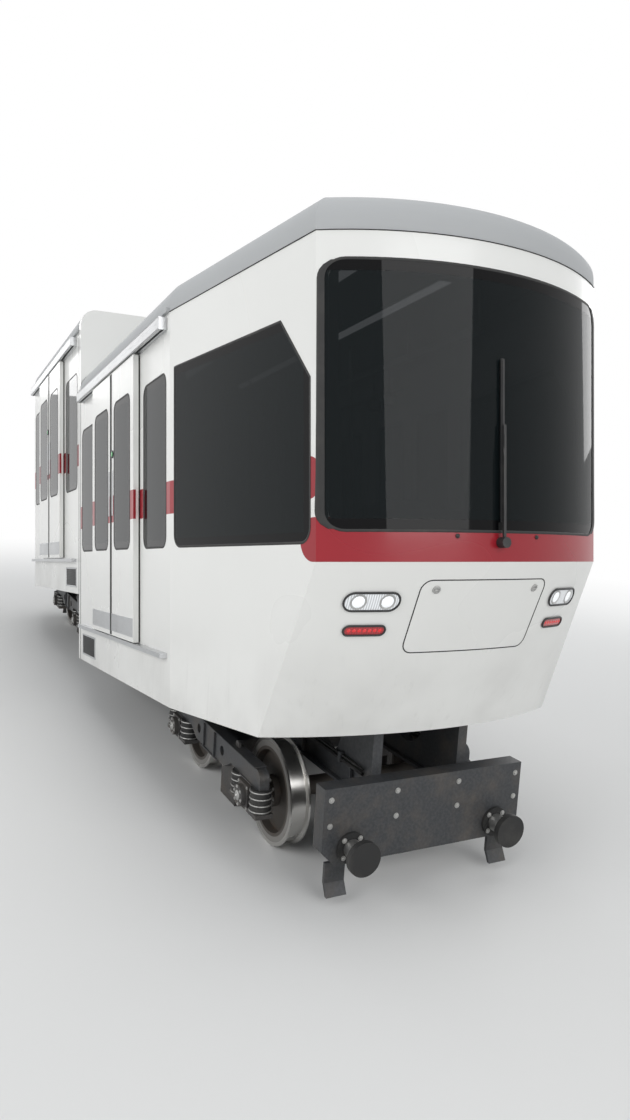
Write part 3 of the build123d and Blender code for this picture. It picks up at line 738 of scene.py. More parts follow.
@dataclass(frozen=True)
class Brushed:
    """Anodised or brushed metal with fine lines along one axis."""

    name: str
    colour: Colour = (0.60, 0.61, 0.62)
    roughness: float = 0.32
    lines: tuple[float, float, float] = (1.0, 60.0, 60.0)
    dust: float = 0.15
    dust_colour: Colour = (0.22, 0.20, 0.18)

    def build(self) -> bpy.types.Material:
        """Make the material: noise stretched along the brushing, faint dust.

        Returns:
            The material.
        """
        shading = Shading(self.name)
        line = shading.noise(12.0, roughness=0.6, stretch=self.lines)
        patch = shading.noise(4.0, detail=4.0, roughness=0.6)
        base = shading.blend(line.soft(0.3, 0.7), shade(self.colour, 0.86), self.colour)
        film = patch.soft(0.5, 0.85) * self.dust
        return shading.principled({
            "Base Color": shading.blend(film, base, self.dust_colour),
            "Metallic": film * -0.9 + 0.95,
            "Roughness": line * 0.16 + film * 0.3 + (self.roughness - 0.08),
            "Normal": shading.bump(line, 0.08, 0.0004),
        })


@dataclass(frozen=True)
class StuddedRubber:
    """Studded rubber floor covering, worn paler where people walk."""

    name: str
    colour: Colour = (0.075, 0.08, 0.085)
    pitch: float = 0.028

    def build(self) -> bpy.types.Material:
        """Make the material: round studs on a square grid as bump, worn middle.

        Returns:
            The material.
        """
        shading = Shading(self.name)
        across, along = shading.y.off_centre(self.pitch), shading.x.off_centre(self.pitch)
        stud = length(across, along).soft(0.40, 0.30)
        worn = abs(shading.y).soft(0.75, 0.15) * shading.noise(3.0, detail=4.0).soft(0.35, 0.7)
        base = shading.blend(worn * 0.5, self.colour, shade(self.colour, 1.8))
        return shading.principled({
            "Base Color": shading.blend(stud * 0.35, base, shade(self.colour, 1.6)),
            "Roughness": worn * -0.12 + 0.62,
            "Normal": shading.bump(stud, 0.6, 0.001),
        })


@dataclass(frozen=True)
class Lens:
    """Clear or coloured lamp lens with fine flutes, which glows all over when it is given a glow."""

    name: str
    colour: Colour
    glow: float = 0.0
    pitch: float = 0.011

    def build(self) -> bpy.types.Material:
        """Make the material: glossy lens, upright flutes as bump, and painted shade that darkens each flute's
        middle.

        Returns:
            The material.
        """
        shading = Shading(self.name)
        flute = abs(shading.y.off_centre(self.pitch)) * 2.0
        # Painted shade: the colour falls to 55 per cent in each flute's middle, standing in for how light
        # falls across the flutes; the glow carries the same stripes.
        base = shading.blend(flute, shade(self.colour, 0.55), self.colour)
        values = {
            "Base Color": base,
            "Roughness": flute * 0.06 + 0.06,
            "Normal": shading.bump(flute, 0.25, 0.0015),
            "Coat Weight": 1.0,
            "Coat Roughness": 0.03,
        }
        if self.glow > 0:
            values |= {"Emission Color": base, "Emission Strength": self.glow}
        return shading.principled(values)


def cell_faces(rows: int, columns: int, wrap: bool) -> Array:
    """Quads of a grid of points, row after row.

    Args:
        rows: Number of rows of points.
        columns: Number of points in a row.
        wrap: Join each row's last point to its first.

    Returns:
        Array of point numbers, four to a face.
    """
    across = columns if wrap else columns - 1
    row, column = np.meshgrid(np.arange(rows - 1), np.arange(across), indexing="ij")
    following = (column + 1) % columns
    return np.stack(
        [row * columns + column, row * columns + following,
         (row + 1) * columns + following, (row + 1) * columns + column], axis=-1
    ).reshape(-1, 4)


def arc(centre: Sequence[float], radius: float, start: float, end: float, count: int) -> Array:
    """Points on a circle's arc in the plane, between two angles in degrees."""
    angles = np.radians(np.linspace(start, end, count))
    return np.stack([centre[0] + radius * np.cos(angles), centre[1] + radius * np.sin(angles)], axis=-1)


def oval(half_width: float, half_height: float, count: int = 8) -> Array:
    """Closed oval about the origin: the half sizes times the cosine and sine of a full turn."""
    turn = np.linspace(0, 2 * np.pi, count, endpoint=False)
    return np.stack([np.cos(turn) * half_width, np.sin(turn) * half_height], axis=-1)


def rounded_outline(width: float, height: float, radius: float, count: int = 5) -> Array:
    """Closed outline of a rounded rectangle about the origin: four quarter circles in turn.

    Args:
        width: Size along the first axis.
        height: Size along the second axis.
        radius: Radius of the corners.
        count: Points on each corner.

    Returns:
        Points in the plane.
    """
    half_w, half_h = width / 2 - radius, height / 2 - radius
    corners = [(half_w, half_h, 0), (-half_w, half_h, 90), (-half_w, -half_h, 180), (half_w, -half_h, 270)]
    return np.concatenate([arc((x, y), radius, a, a + 90, count) for x, y, a in corners])


def subdivided(outline: Array, step: float) -> Array:
    """Closed outline with each side cut into equal parts, as many as whole steps fit in it.

    Args:
        outline: Points in the plane.
        step: Least size of a part.

    Returns:
        The finer outline.
    """
    following = np.roll(outline, -1, axis=0)
    counts = np.maximum((np.linalg.norm(following - outline, axis=1) / step).astype(int), 1)
    return np.concatenate([
        start + (end - start) * np.linspace(0, 1, count, endpoint=False)[:, None]
        for start, end, count in zip(outline, following, counts)
    ])


def upright(flat: Array, across: float) -> Array:
    """Stand points (along, height) up at a distance across."""
    return np.insert(flat, 1, across, axis=1)


def smooth_path(points: Array, fine: int) -> Array:
    """Curve through points: between two of them a cubic whose slopes follow their neighbours.

    With p0 to p3 four points in a row and t from 0 to 1, the place is
    p1 + t (p2 - p0)/2 + t^2 (p0 - 5/2 p1 + 2 p2 - p3/2) + t^3 (3/2 p1 - p0/2 - 3/2 p2 + p3/2).

    Args:
        points: Points of the route.
        fine: Steps between two points.

    Returns:
        Points along the curve.
    """
    padded = np.concatenate([2 * points[:1] - points[1:2], points, 2 * points[-1:] - points[-2:-1]])
    p0, p1, p2, p3 = padded[:-3], padded[1:-2], padded[2:-1], padded[3:]
    t = np.linspace(0, 1, fine, endpoint=False)[:, None, None]
    curve = p1 + t * (p2 - p0) / 2 + t ** 2 * (p0 - 2.5 * p1 + 2 * p2 - p3 / 2)
    curve = curve + t ** 3 * (1.5 * p1 - p0 / 2 - 1.5 * p2 + p3 / 2)
    return np.concatenate([curve.transpose(1, 0, 2).reshape(-1, 3), points[-1:]])


def unit(vectors: Array) -> Array:
    """Vectors of length one in the same directions."""
    return vectors / np.linalg.norm(vectors, axis=-1, keepdims=True)


def frames_along(path: Array, closed: bool = False) -> tuple[Array, Array]:
    """Unit vectors beside and over a path at each of its points.

    The direction at a point is that between its neighbours. Beside is square to it and to
    a fixed helper axis, the one that no step of the path runs along.

    Args:
        path: Points of the path.
        closed: The last point joins the first.

    Returns:
        Directions beside and over the path.
    """
    along = np.roll(path, -1, axis=0) - np.roll(path, 1, axis=0) if closed else np.gradient(path, axis=0)
    along = unit(along)
    helper = np.eye(3)[np.argmin(np.abs(along).max(axis=0))]
    beside = unit(np.cross(helper, along))
    return beside, np.cross(along, beside)


@cache
def material_of(finish: Finish) -> bpy.types.Material:
    """Material of a finish, made on its first use."""
    log.info("finish %s", finish.name)
    return finish.build()


@dataclass(frozen=True)
class Stock:
    """What a piece is made of: a finish, and the slot of the record that it belongs to."""

    finish: Finish
    slot: str


class Sheet:
    """Closed skins that become one piece, or part of one."""

    sharp_angle = math.radians(35.0)
    least_radius = 1e-4

    def __init__(self) -> None:
        """Start with no skins."""
        self.points: list[Array] = []
        self.faces: list[list[int]] = []
        self.count = 0

    def _add(self, points: Array, faces: Iterable[Sequence[int]]) -> "Sheet":
        """Append a skin.

        Args:
            points: Its points, in any shape.
            faces: Numbers of the points of each face.

        Returns:
            This sheet.
        """
        self.faces.extend([[int(i) + self.count for i in face] for face in faces])
        self.points.append(points.reshape(-1, 3))
        self.count += len(self.points[-1])
        return self

    def loft(self, rings: Array) -> "Sheet":
        """Skin through closed rings of points, with flat faces over the two ends.

        Args:
            rings: Array of rings, points and coordinates.

        Returns:
            This sheet.
        """
        rows, columns, _ = rings.shape
        caps = [list(range(columns))[::-1], list(range((rows - 1) * columns, rows * columns))]
        return self._add(rings, cell_faces(rows, columns, True).tolist() + caps)

    def ring_loop(self, rings: Array) -> "Sheet":
        """Skin through closed rings whose last one joins the first, as round a gasket."""
        rows, columns, _ = rings.shape
        return self._add(rings, cell_faces(rows + 1, columns, True) % (rows * columns))

    def sweep(self, path: Array, section: Array, closed: bool = False) -> "Sheet":
        """Section carried along a path, its two coordinates laid beside and over the path.

        Args:
            path: Points of the path.
            section: Closed outline in the plane.
            closed: The path's last point joins its first.

        Returns:
            This sheet.
        """
        beside, over = frames_along(path, closed)
        rings = path[:, None] + section[None, :, :1] * beside[:, None] + section[None, :, 1:] * over[:, None]
        return self.ring_loop(rings) if closed else self.loft(rings)

    def tube(self, path: Array, radius: float, sides: int = 12) -> "Sheet":
        """Round bar along a path."""
        return self.sweep(path, oval(radius, radius, sides))

    def bead(self, outline: Array, section: Array, out: Sequence[float] = OUTWARD) -> "Sheet":
        """Lay a closed bead of a section on a wall.

        At each point of the outline, the section's width lies in the wall, square to the
        outline, and its height points out of the wall.

        Args:
            outline: Closed path on the wall.
            section: Width and height of the bead's section.
            out: Direction out of the wall.

        Returns:
            This sheet.
        """
        along = unit(np.roll(outline, -1, axis=0) - np.roll(outline, 1, axis=0))
        out = np.broadcast_to(np.asarray(out, float), outline.shape)
        out = unit(out - (out * along).sum(axis=1, keepdims=True) * along)
        beside = np.cross(out, along)
        width, height = section[None, :, :1], section[None, :, 1:]
        return self.ring_loop(outline[:, None] + beside[:, None] * width + out[:, None] * height)

    def block(self, centre: Sequence[float], size: Sequence[float], bevel: float = 0.003,
              count: int = 3) -> "Sheet":
        """Box with rounded upright edges and chamfered ends.

        Rings of a rounded rectangle stand over each other; the first and last are drawn
        in by the bevel, so that the ends have a chamfer.

        Args:
            centre: Middle of the box.
            size: Size along X, Y and Z.
            bevel: Radius of the edges.
            count: Points on each rounded corner.

        Returns:
            This sheet.
        """
        bevel = min(bevel, *(s * 0.45 for s in size))
        half = size[2] / 2
        rings = []
        for z, inset in ((-half, bevel), (-half + bevel, 0.0), (half - bevel, 0.0), (half, bevel)):
            radius = max(bevel - inset * 0.7, bevel * 0.2)
            outline = rounded_outline(size[0] - 2 * inset, size[1] - 2 * inset, radius, count)
            rings.append(np.column_stack([outline, np.full(len(outline), z)]))
        return self.loft(np.array(rings) + np.asarray(centre, float))

    def lathe(self, profile: Profile, origin: Sequence[float],
              axis: Sequence[float], sides: int = 24) -> "Sheet":
        """Turned piece: each point of a profile swept round an axis.

        Args:
            profile: Rows of radius and distance along the axis.
            origin: Point of the axis where the distance is nought.
            axis: Direction of the axis.
            sides: Points on each circle.

        Returns:
            This sheet.
        """
        along = unit(np.asarray(axis, float))
        helper = np.array(UPWARD if abs(along[2]) < 0.9 else FORWARD)
        beside = unit(np.cross(helper, along))
        turn = oval(1.0, 1.0, sides)
        circle = turn[:, :1] * beside + turn[:, 1:] * np.cross(along, beside)
        radii, places = np.array(profile, float).T[:, :, None, None]
        rings = np.asarray(origin, float) + np.maximum(radii, self.least_radius) * circle + places * along
        return self.loft(rings)

    def bolts(self, centres: Iterable[Sequence[float]], axis: Sequence[float], radius: float = 0.011,
              height: float = 0.008) -> "Sheet":
        """Hexagon heads on round washers, one at each centre.

        Args:
            centres: Middles of the washers' seats.
            axis: Direction that the heads point in.
            radius: Half the width of a head over its corners.
            height: Height of head and washer.

        Returns:
            This sheet.
        """
        seat = height * 0.25
        washer = [(radius * 1.45, 0.0), (radius * 1.45, seat)]
        head = [(radius, seat), (radius, height * 0.85), (radius * 0.86, height)]
        for centre in centres:
            self.lathe(washer, centre, axis, 16).lathe(head, centre, axis, 6)
        return self

    def mapped(self, change: Callable[[Array], Array]) -> "Sheet":
        """The same skins with their points carried through a function.

        Args:
            change: Function that gives the new points.

        Returns:
            A new sheet.
        """
        part = Sheet()
        part.points = [change(points) for points in self.points]
        part.faces, part.count = list(self.faces), self.count
        return part

    def put(self, part: "Sheet", end: End, hand: Hand = Hand.LEFT) -> "Sheet":
        """Add another sheet's skins, drawn for the left of a compartment, in their place.

        Args:
            part: Skins in compartment coordinates.
            end: Compartment that they go to.
            hand: Side that they go to.

        Returns:
            This sheet.
        """
        flip = np.array([1.0, hand.value, 1.0])
        self.points.extend(CAR.place(points * flip, end) for points in part.points)
        self.faces.extend([i + self.count for i in face] for face in part.faces)
        self.count += part.count
        return self

    def copies(self, spots: Iterable[tuple[End, Hand]] = QUARTERS) -> "Sheet":
        """The same skins, drawn for the left of a compartment, at each of the spots.

        Args:
            spots: Compartments and sides.

        Returns:
            A new sheet.
        """
        placed = Sheet()
        for end, hand in spots:
            placed.put(self, end, hand)
        return placed

    def build(self, name: str, stock: Stock, body: str = "car", replaces: Sequence[str] = ()) -> None:
        """Make the object, with every face of its closed skins turned outwards, and let it ride.

        Args:
            name: Name of the piece.
            stock: What the piece is made of.
            body: Body that it rides on.
            replaces: Nodes that it stands for.
        """
        mesh = bpy.data.meshes.new(name)
        mesh.from_pydata(np.concatenate(self.points).tolist(), [], self.faces)
        work = bmesh.new()
        work.from_mesh(mesh)
        bmesh.ops.recalc_face_normals(work, faces=work.faces)
        work.to_mesh(mesh)
        work.free()
        mesh.shade_smooth()
        mesh.set_sharp_from_angle(angle=self.sharp_angle)
        mesh.materials.append(material_of(stock.finish))
        piece = bpy.data.objects.new(name, mesh)
        bpy.context.scene.collection.objects.link(piece)
        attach(piece, body)
        if replaces:
            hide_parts(*replaces)
        log.info("%s: %d faces on %s", name, len(mesh.polygons), body)


SIDE_PANES = ((0.120, 0.700), (2.200, 2.720), (2.828, 4.2435))
LEAF_PANES = ((0.8835, 1.352), (1.548, 2.0165))

MATT = {"roughness": 0.66, "specular": 0.10, "coat": 0.0, "grime": 0.9}
WHITE_SIDE = Enamel("white_enamel_side", livery=Livery.SIDE)
WHITE_LEAF = Enamel("white_enamel_leaf", livery=Livery.SIDE, outer=1.130)
WHITE_CAP = Enamel("white_enamel_cap", livery=Livery.CAP)
WHITE_PLAIN = Enamel("white_enamel")
ROOF_GREY = Enamel("roof_enamel", colour=(0.45, 0.46, 0.465), **MATT)
UNIT_GREY = Enamel("unit_enamel", colour=(0.30, 0.31, 0.32), **MATT)
SIDE_GLASS = TintedGlass("side_glass", verticals=SIDE_PANES)
LEAF_GLASS = TintedGlass("leaf_glass", verticals=LEAF_PANES, body=0.90)
SCREEN_GLASS = TintedGlass(
    "screen_glass", low=CAR.screen_low, high=CAR.screen_high, rim_width=0.055, body=0.84
)
CHASSIS_PAINT = Metal("chassis_paint", (0.030, 0.032, 0.035), roughness=0.48, dust=0.35)
CASTING = Metal("casting", (0.045, 0.043, 0.042), roughness=0.62, dust=0.5, grain=160.0, grain_depth=0.5)
ZINC = Metal("zinc_fasteners", (0.38, 0.38, 0.37), metallic=0.8, roughness=0.42, dust=0.35, grain=220.0)
BARE_STEEL = Brushed("bare_steel", (0.50, 0.50, 0.49), 0.34)
ANODISED = Brushed("anodised", (0.58, 0.59, 0.60), 0.36)
CLEAR_LENS = Lens("clear_lens", (0.82, 0.84, 0.86), glow=0.25)
RED_LENS = Lens("red_lens", (0.42, 0.01, 0.015), glow=0.15)
BEAM_LENS = Lens("beam_lens", (0.93, 0.95, 0.97), glow=0.55, pitch=0.006)
RED_POINT = Moulded("red_point", (0.55, 0.012, 0.016), 0.15, glow=0.5, coat=0.6)
GREEN_BUTTON = Moulded("green_button", (0.03, 0.30, 0.08), 0.25, glow=0.35, coat=0.5)
LIGHT_STRIP = Moulded("light_strip", (0.92, 0.95, 1.0), 0.3, glow=1.4)
BLACK_RUBBER = Moulded("black_rubber", (0.012, 0.012, 0.012), 0.62)
BLACK_PLASTIC = Moulded("black_plastic", (0.016, 0.016, 0.017), 0.48)
DESK_PLASTIC = Moulded("desk_plastic", (0.055, 0.06, 0.065), 0.6)
AMBER_KEYS = Moulded("desk_keys", (0.42, 0.20, 0.03), 0.35, glow=0.1)
SCREEN_BLANK = Moulded("desk_screen", (0.01, 0.012, 0.016), 0.12, depth=0.02, coat=0.6)
RED_BOTTLE = Moulded("red_bottle", (0.42, 0.012, 0.012), 0.22, depth=0.03, coat=0.7)
SEAT_SHELL = Moulded("seat_shell", (0.22, 0.012, 0.02), 0.34, depth=0.08, coat=0.3)
FLOOR_RUBBER = StuddedRubber("floor_rubber")

RUBBER = Stock(BLACK_RUBBER, "rubber")
PLASTIC = Stock(BLACK_PLASTIC, "black_plastic")
ALUMINIUM = Stock(ANODISED, "aluminium")
STEEL = Stock(BARE_STEEL, "steel")
FASTENERS = Stock(ZINC, "steel")
FRAME_PLATE = Stock(CHASSIS_PAINT, "chassis_paint")
GREY_PLATE = Stock(UNIT_GREY, "grey_paint")


@dataclass(frozen=True)
class SoftLight:
    """Rectangular lamp: where it hangs, the point that it faces, its size and its watts."""

    name: str
    place: Place
    target: Place
    size: Pair
    power: float

    def build(self) -> None:
        """Hang the lamp."""
        data = bpy.data.lights.new(self.name, "AREA")
        data.shape = "RECTANGLE"
        data.size, data.size_y = self.size
        data.energy = self.power
        lamp = bpy.data.objects.new(self.name, data)
        lamp.location = self.place
        facing = Vector(self.target) - Vector(self.place)
        lamp.rotation_euler = facing.to_track_quat("-Z", "Y").to_euler()
        bpy.context.scene.collection.objects.link(lamp)


@dataclass(frozen=True)
class Studio:
    """Pale floor, white surroundings, soft lights, and a camera that looks as the photograph does.

    The camera is level, as someone who stands beside the track holds it: it looks uphill and
    a little to the right, so the car's left side runs away from it.
    """

    heading: float = math.radians(27.0)
    lens: float = 26.04
    sensor: float = 36.0
    sight: float = 200.0
    stand_off: float = 3.05
    offset: float = 2.55
    eye: float = 0.55
    floor_size: float = 60.0
    floor_height: float = -0.001
    fade: Pair = (6.0, 14.0)
    floor_colour: Colour = (0.74, 0.74, 0.73)
    sky_colour: Colour = (0.93, 0.96, 1.0)
    sky_strength: float = 0.42
    lights: tuple[SoftLight, ...] = (
        SoftLight("overhead", (0.0, 0.0, 13.0), (0.0, 0.0, 0.0), (14.0, 9.0), 520.0),
        SoftLight("left_soft", (-4.0, 12.0, 6.5), (0.0, 0.0, 1.2), (12.0, 6.0), 720.0),
        SoftLight("right_soft", (3.0, -12.0, 6.5), (0.0, 0.0, 1.2), (12.0, 6.0), 560.0),
        SoftLight("end_soft", (-14.0, -1.0, 6.0), (-3.0, 0.0, 1.2), (7.0, 5.0), 420.0),
        SoftLight("uphill_soft", (14.0, 1.0, 6.0), (3.0, 0.0, 1.8), (7.0, 5.0), 260.0),
    )

    def make_floor(self) -> None:
        """Large square under the wheels that fades to white for the camera and in reflections."""
        half, z = self.floor_size / 2, self.floor_height
        mesh = bpy.data.meshes.new("studio_floor")
        mesh.from_pydata(
            [(-half, -half, z), (half, -half, z), (half, half, z), (-half, half, z)], [], [(0, 1, 2, 3)]
        )
        shading = Shading("studio_floor")
        fade = length(shading.x, shading.y).soft(*self.fade)
        plain = shading.node("ShaderNodeBsdfDiffuse", {}, {"Color": (*self.floor_colour, 1.0)})
        white = shading.node("ShaderNodeEmission", {}, {"Color": (1, 1, 1, 1), "Strength": 1.0})
        values = {0: shading.seen() * fade, 1: plain.outputs[0], 2: white.outputs[0]}
        mesh.materials.append(shading.finish(shading.node("ShaderNodeMixShader", {}, values)))
        floor = bpy.data.objects.new("studio_floor", mesh)
        bpy.context.scene.collection.objects.link(floor)

    def make_world(self) -> None:
        """Even grey light from all round, seen as white by the camera and in reflections."""
        world = bpy.data.worlds.new("studio")
        world.use_nodes = True
        nodes = Nodes(world.node_tree)
        sky = {"Color": (*self.sky_colour, 1.0), "Strength": self.sky_strength}
        light = nodes.node("ShaderNodeBackground", {}, sky)
        white = nodes.node("ShaderNodeBackground", {}, {"Color": (1, 1, 1, 1)})
        values = {0: nodes.seen(), 1: light.outputs[0], 2: white.outputs[0]}
        mix = nodes.node("ShaderNodeMixShader", {}, values)
        nodes.node("ShaderNodeOutputWorld", {}, {"Surface": mix.outputs[0]})
        bpy.context.scene.world = world

    def make_camera(self) -> None:
        """Camera in the level frame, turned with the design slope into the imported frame."""
        stand = np.array([-(CAR.nose + self.stand_off), self.offset, CAR.floor(End.DOWNHILL) + self.eye])
        direction = np.array([math.cos(self.heading), -math.sin(self.heading), 0.0])
        forward, up = CAR.turned(direction), CAR.turned(np.array(UPWARD))
        data = bpy.data.cameras.new("camera")
        data.lens = self.lens
        data.sensor_width = self.sensor
        data.clip_end = self.sight
        matrix = np.eye(4)
        matrix[:3] = np.stack([np.cross(forward, up), up, -forward, CAR.track(CAR.turned(stand))], axis=-1)
        camera = bpy.data.objects.new("camera", data)
        camera.matrix_world = Matrix(matrix.tolist())
        bpy.context.scene.collection.objects.link(camera)
        bpy.context.scene.camera = camera

    def build(self) -> None:
        """Make the floor, the world, the lights and the camera."""
        bpy.context.scene.view_settings.view_transform = "Standard"
        self.make_floor()
        self.make_world()
        for light in self.lights:
            light.build()
        self.make_camera()


@dataclass(frozen=True)
class PaneBead:
    """Rubber bead round a pane of the straight wall or of a leaf."""

    width: float = 0.007
    proud: float = 0.0025
    corner: float = 0.073
    count: int = 8

    def section(self) -> Array:
        """Flattened oval: width beside the path, height out of the wall."""
        return oval(self.width, self.proud)

    def outline(self, start: float, end: float, across: float = CAR.half_width) -> Array:
        """Edge of a pane between two places along the car, at a distance across."""
        flat = rounded_outline(end - start, CAR.band_top - CAR.band_bottom, self.corner, self.count)
        return upright(flat + ((start + end) / 2, (CAR.band_top + CAR.band_bottom) / 2), across)


PANE_BEAD = PaneBead()


@dataclass(frozen=True)
class Glazing:
    """Rubber beads round every fixed pane and the windscreens, and the windscreens' mouldings."""

    shoulder: float = 1.395
    slant: float = math.radians(38)
    pane_back: float = 0.060
    screen_side: float = 0.028
    screen_corner: float = 0.090
    screen_step: float = 0.06
    long_side: float = 0.1
    lip_heights: tuple[float, ...] = (0.70, 0.95, 1.90)
    lip_widths: tuple[float, ...] = (0.007, 0.001, -0.003)

    def end_outline(self) -> Array:
        """Edge of the end pane: two round low corners and a slanted high one.

        Distances are first counted back from the corner along the tapered wall, then turned
        with the taper: along = corner - back cos(taper), across = side_y(along).

        Returns:
            Closed path in compartment coordinates.
        """
        back = (CAR.corner - CAR.taper_start) / math.cos(CAR.taper) - self.pane_back
        near, low, r = CAR.corner_strip, CAR.band_bottom, PANE_BEAD.corner
        slant = (CAR.band_top - self.shoulder) * math.tan(self.slant)
        flat = self.refined(np.concatenate([
            arc((near + r, low + r), r, 180, 270, PANE_BEAD.count),
            arc((back - r, low + r), r, 270, 360, PANE_BEAD.count),
            [(back, CAR.band_top), (near + slant, CAR.band_top), (near, self.shoulder)],
        ]))
        along = CAR.corner - flat[:, 0] * math.cos(CAR.taper)
        return np.column_stack([along, CAR.side_y(along), flat[:, 1]])

    def refined(self, points: Array) -> Array:
        """Extra points close to each sharp corner, so that the bead keeps its width there.

        Args:
            points: Closed outline in the plane.

        Returns:
            The outline with three more points on each long side.
        """
        following = np.roll(points, -1, axis=0)
        long = np.linalg.norm(following - points, axis=1) > self.long_side
        shares = np.array([0.0, 0.02, 0.5, 0.98])[:, None]
        return np.concatenate([
            start * (1 - shares) + end * shares if split else start[None]
            for start, end, split in zip(points, following, long)
        ])

    def screen_outline(self) -> Array:
        """Edge of the windscreen, laid on the curved end.

        Returns:
            Closed path in compartment coordinates.
        """
        width = 2 * (CAR.corner_half_width - self.screen_side)
        flat = rounded_outline(width, CAR.screen_high - CAR.screen_low, self.screen_corner, 8)
        return CAR.on_nose(subdivided(flat, self.screen_step) + (0.0, CAR.screen_middle))

    def moulding(self) -> Sheet:
        """Black moulding from the windscreen's upright edge to the body's corner.

        At each height, the section lies on the end's curve. It draws in with the round
        corners of the screen, and its outer lip stands out more and more towards the foot.

        Returns:
            Its skins.
        """
        r = self.screen_corner
        height = np.linspace(CAR.screen_low + 0.008, CAR.screen_high - 0.008, 61)
        straight = (CAR.screen_high - CAR.screen_low) / 2 - r
        inset = r - np.sqrt(r ** 2 - np.maximum(np.abs(height - CAR.screen_middle) - straight, 0) ** 2)
        inner = CAR.corner_half_width - self.screen_side - 0.004 - inset
        outer = CAR.corner_half_width + np.interp(height, self.lip_heights, self.lip_widths) - inset
        across = np.stack([inner, (inner + outer) / 2, outer - 0.002, outer, outer, inner], axis=-1)
        out = np.array([0.0035, 0.0060, 0.0055, 0.0035, -0.0010, -0.0020])
        grid = np.stack(np.broadcast_arrays(out, across, height[:, None]), axis=-1)
        return Sheet().loft(CAR.out_of_nose(grid))

    def build(self) -> None:
        """Make one piece of all side beads and one of the windscreens' beads and mouldings."""
        side, section = Sheet(), PANE_BEAD.section()
        for outline in (*(PANE_BEAD.outline(*pane) for pane in SIDE_PANES[:2]), self.end_outline()):
            side.bead(outline, section)
        side.copies().build("side_pane_beads", RUBBER)
        screens, moulding = Sheet(), self.moulding()
        bead = Sheet().bead(self.screen_outline(), section, FORWARD)
        for end in End:
            screens.put(moulding, end).put(moulding, end, Hand.RIGHT).put(bead, end)
        screens.build("windscreen_beads", RUBBER)


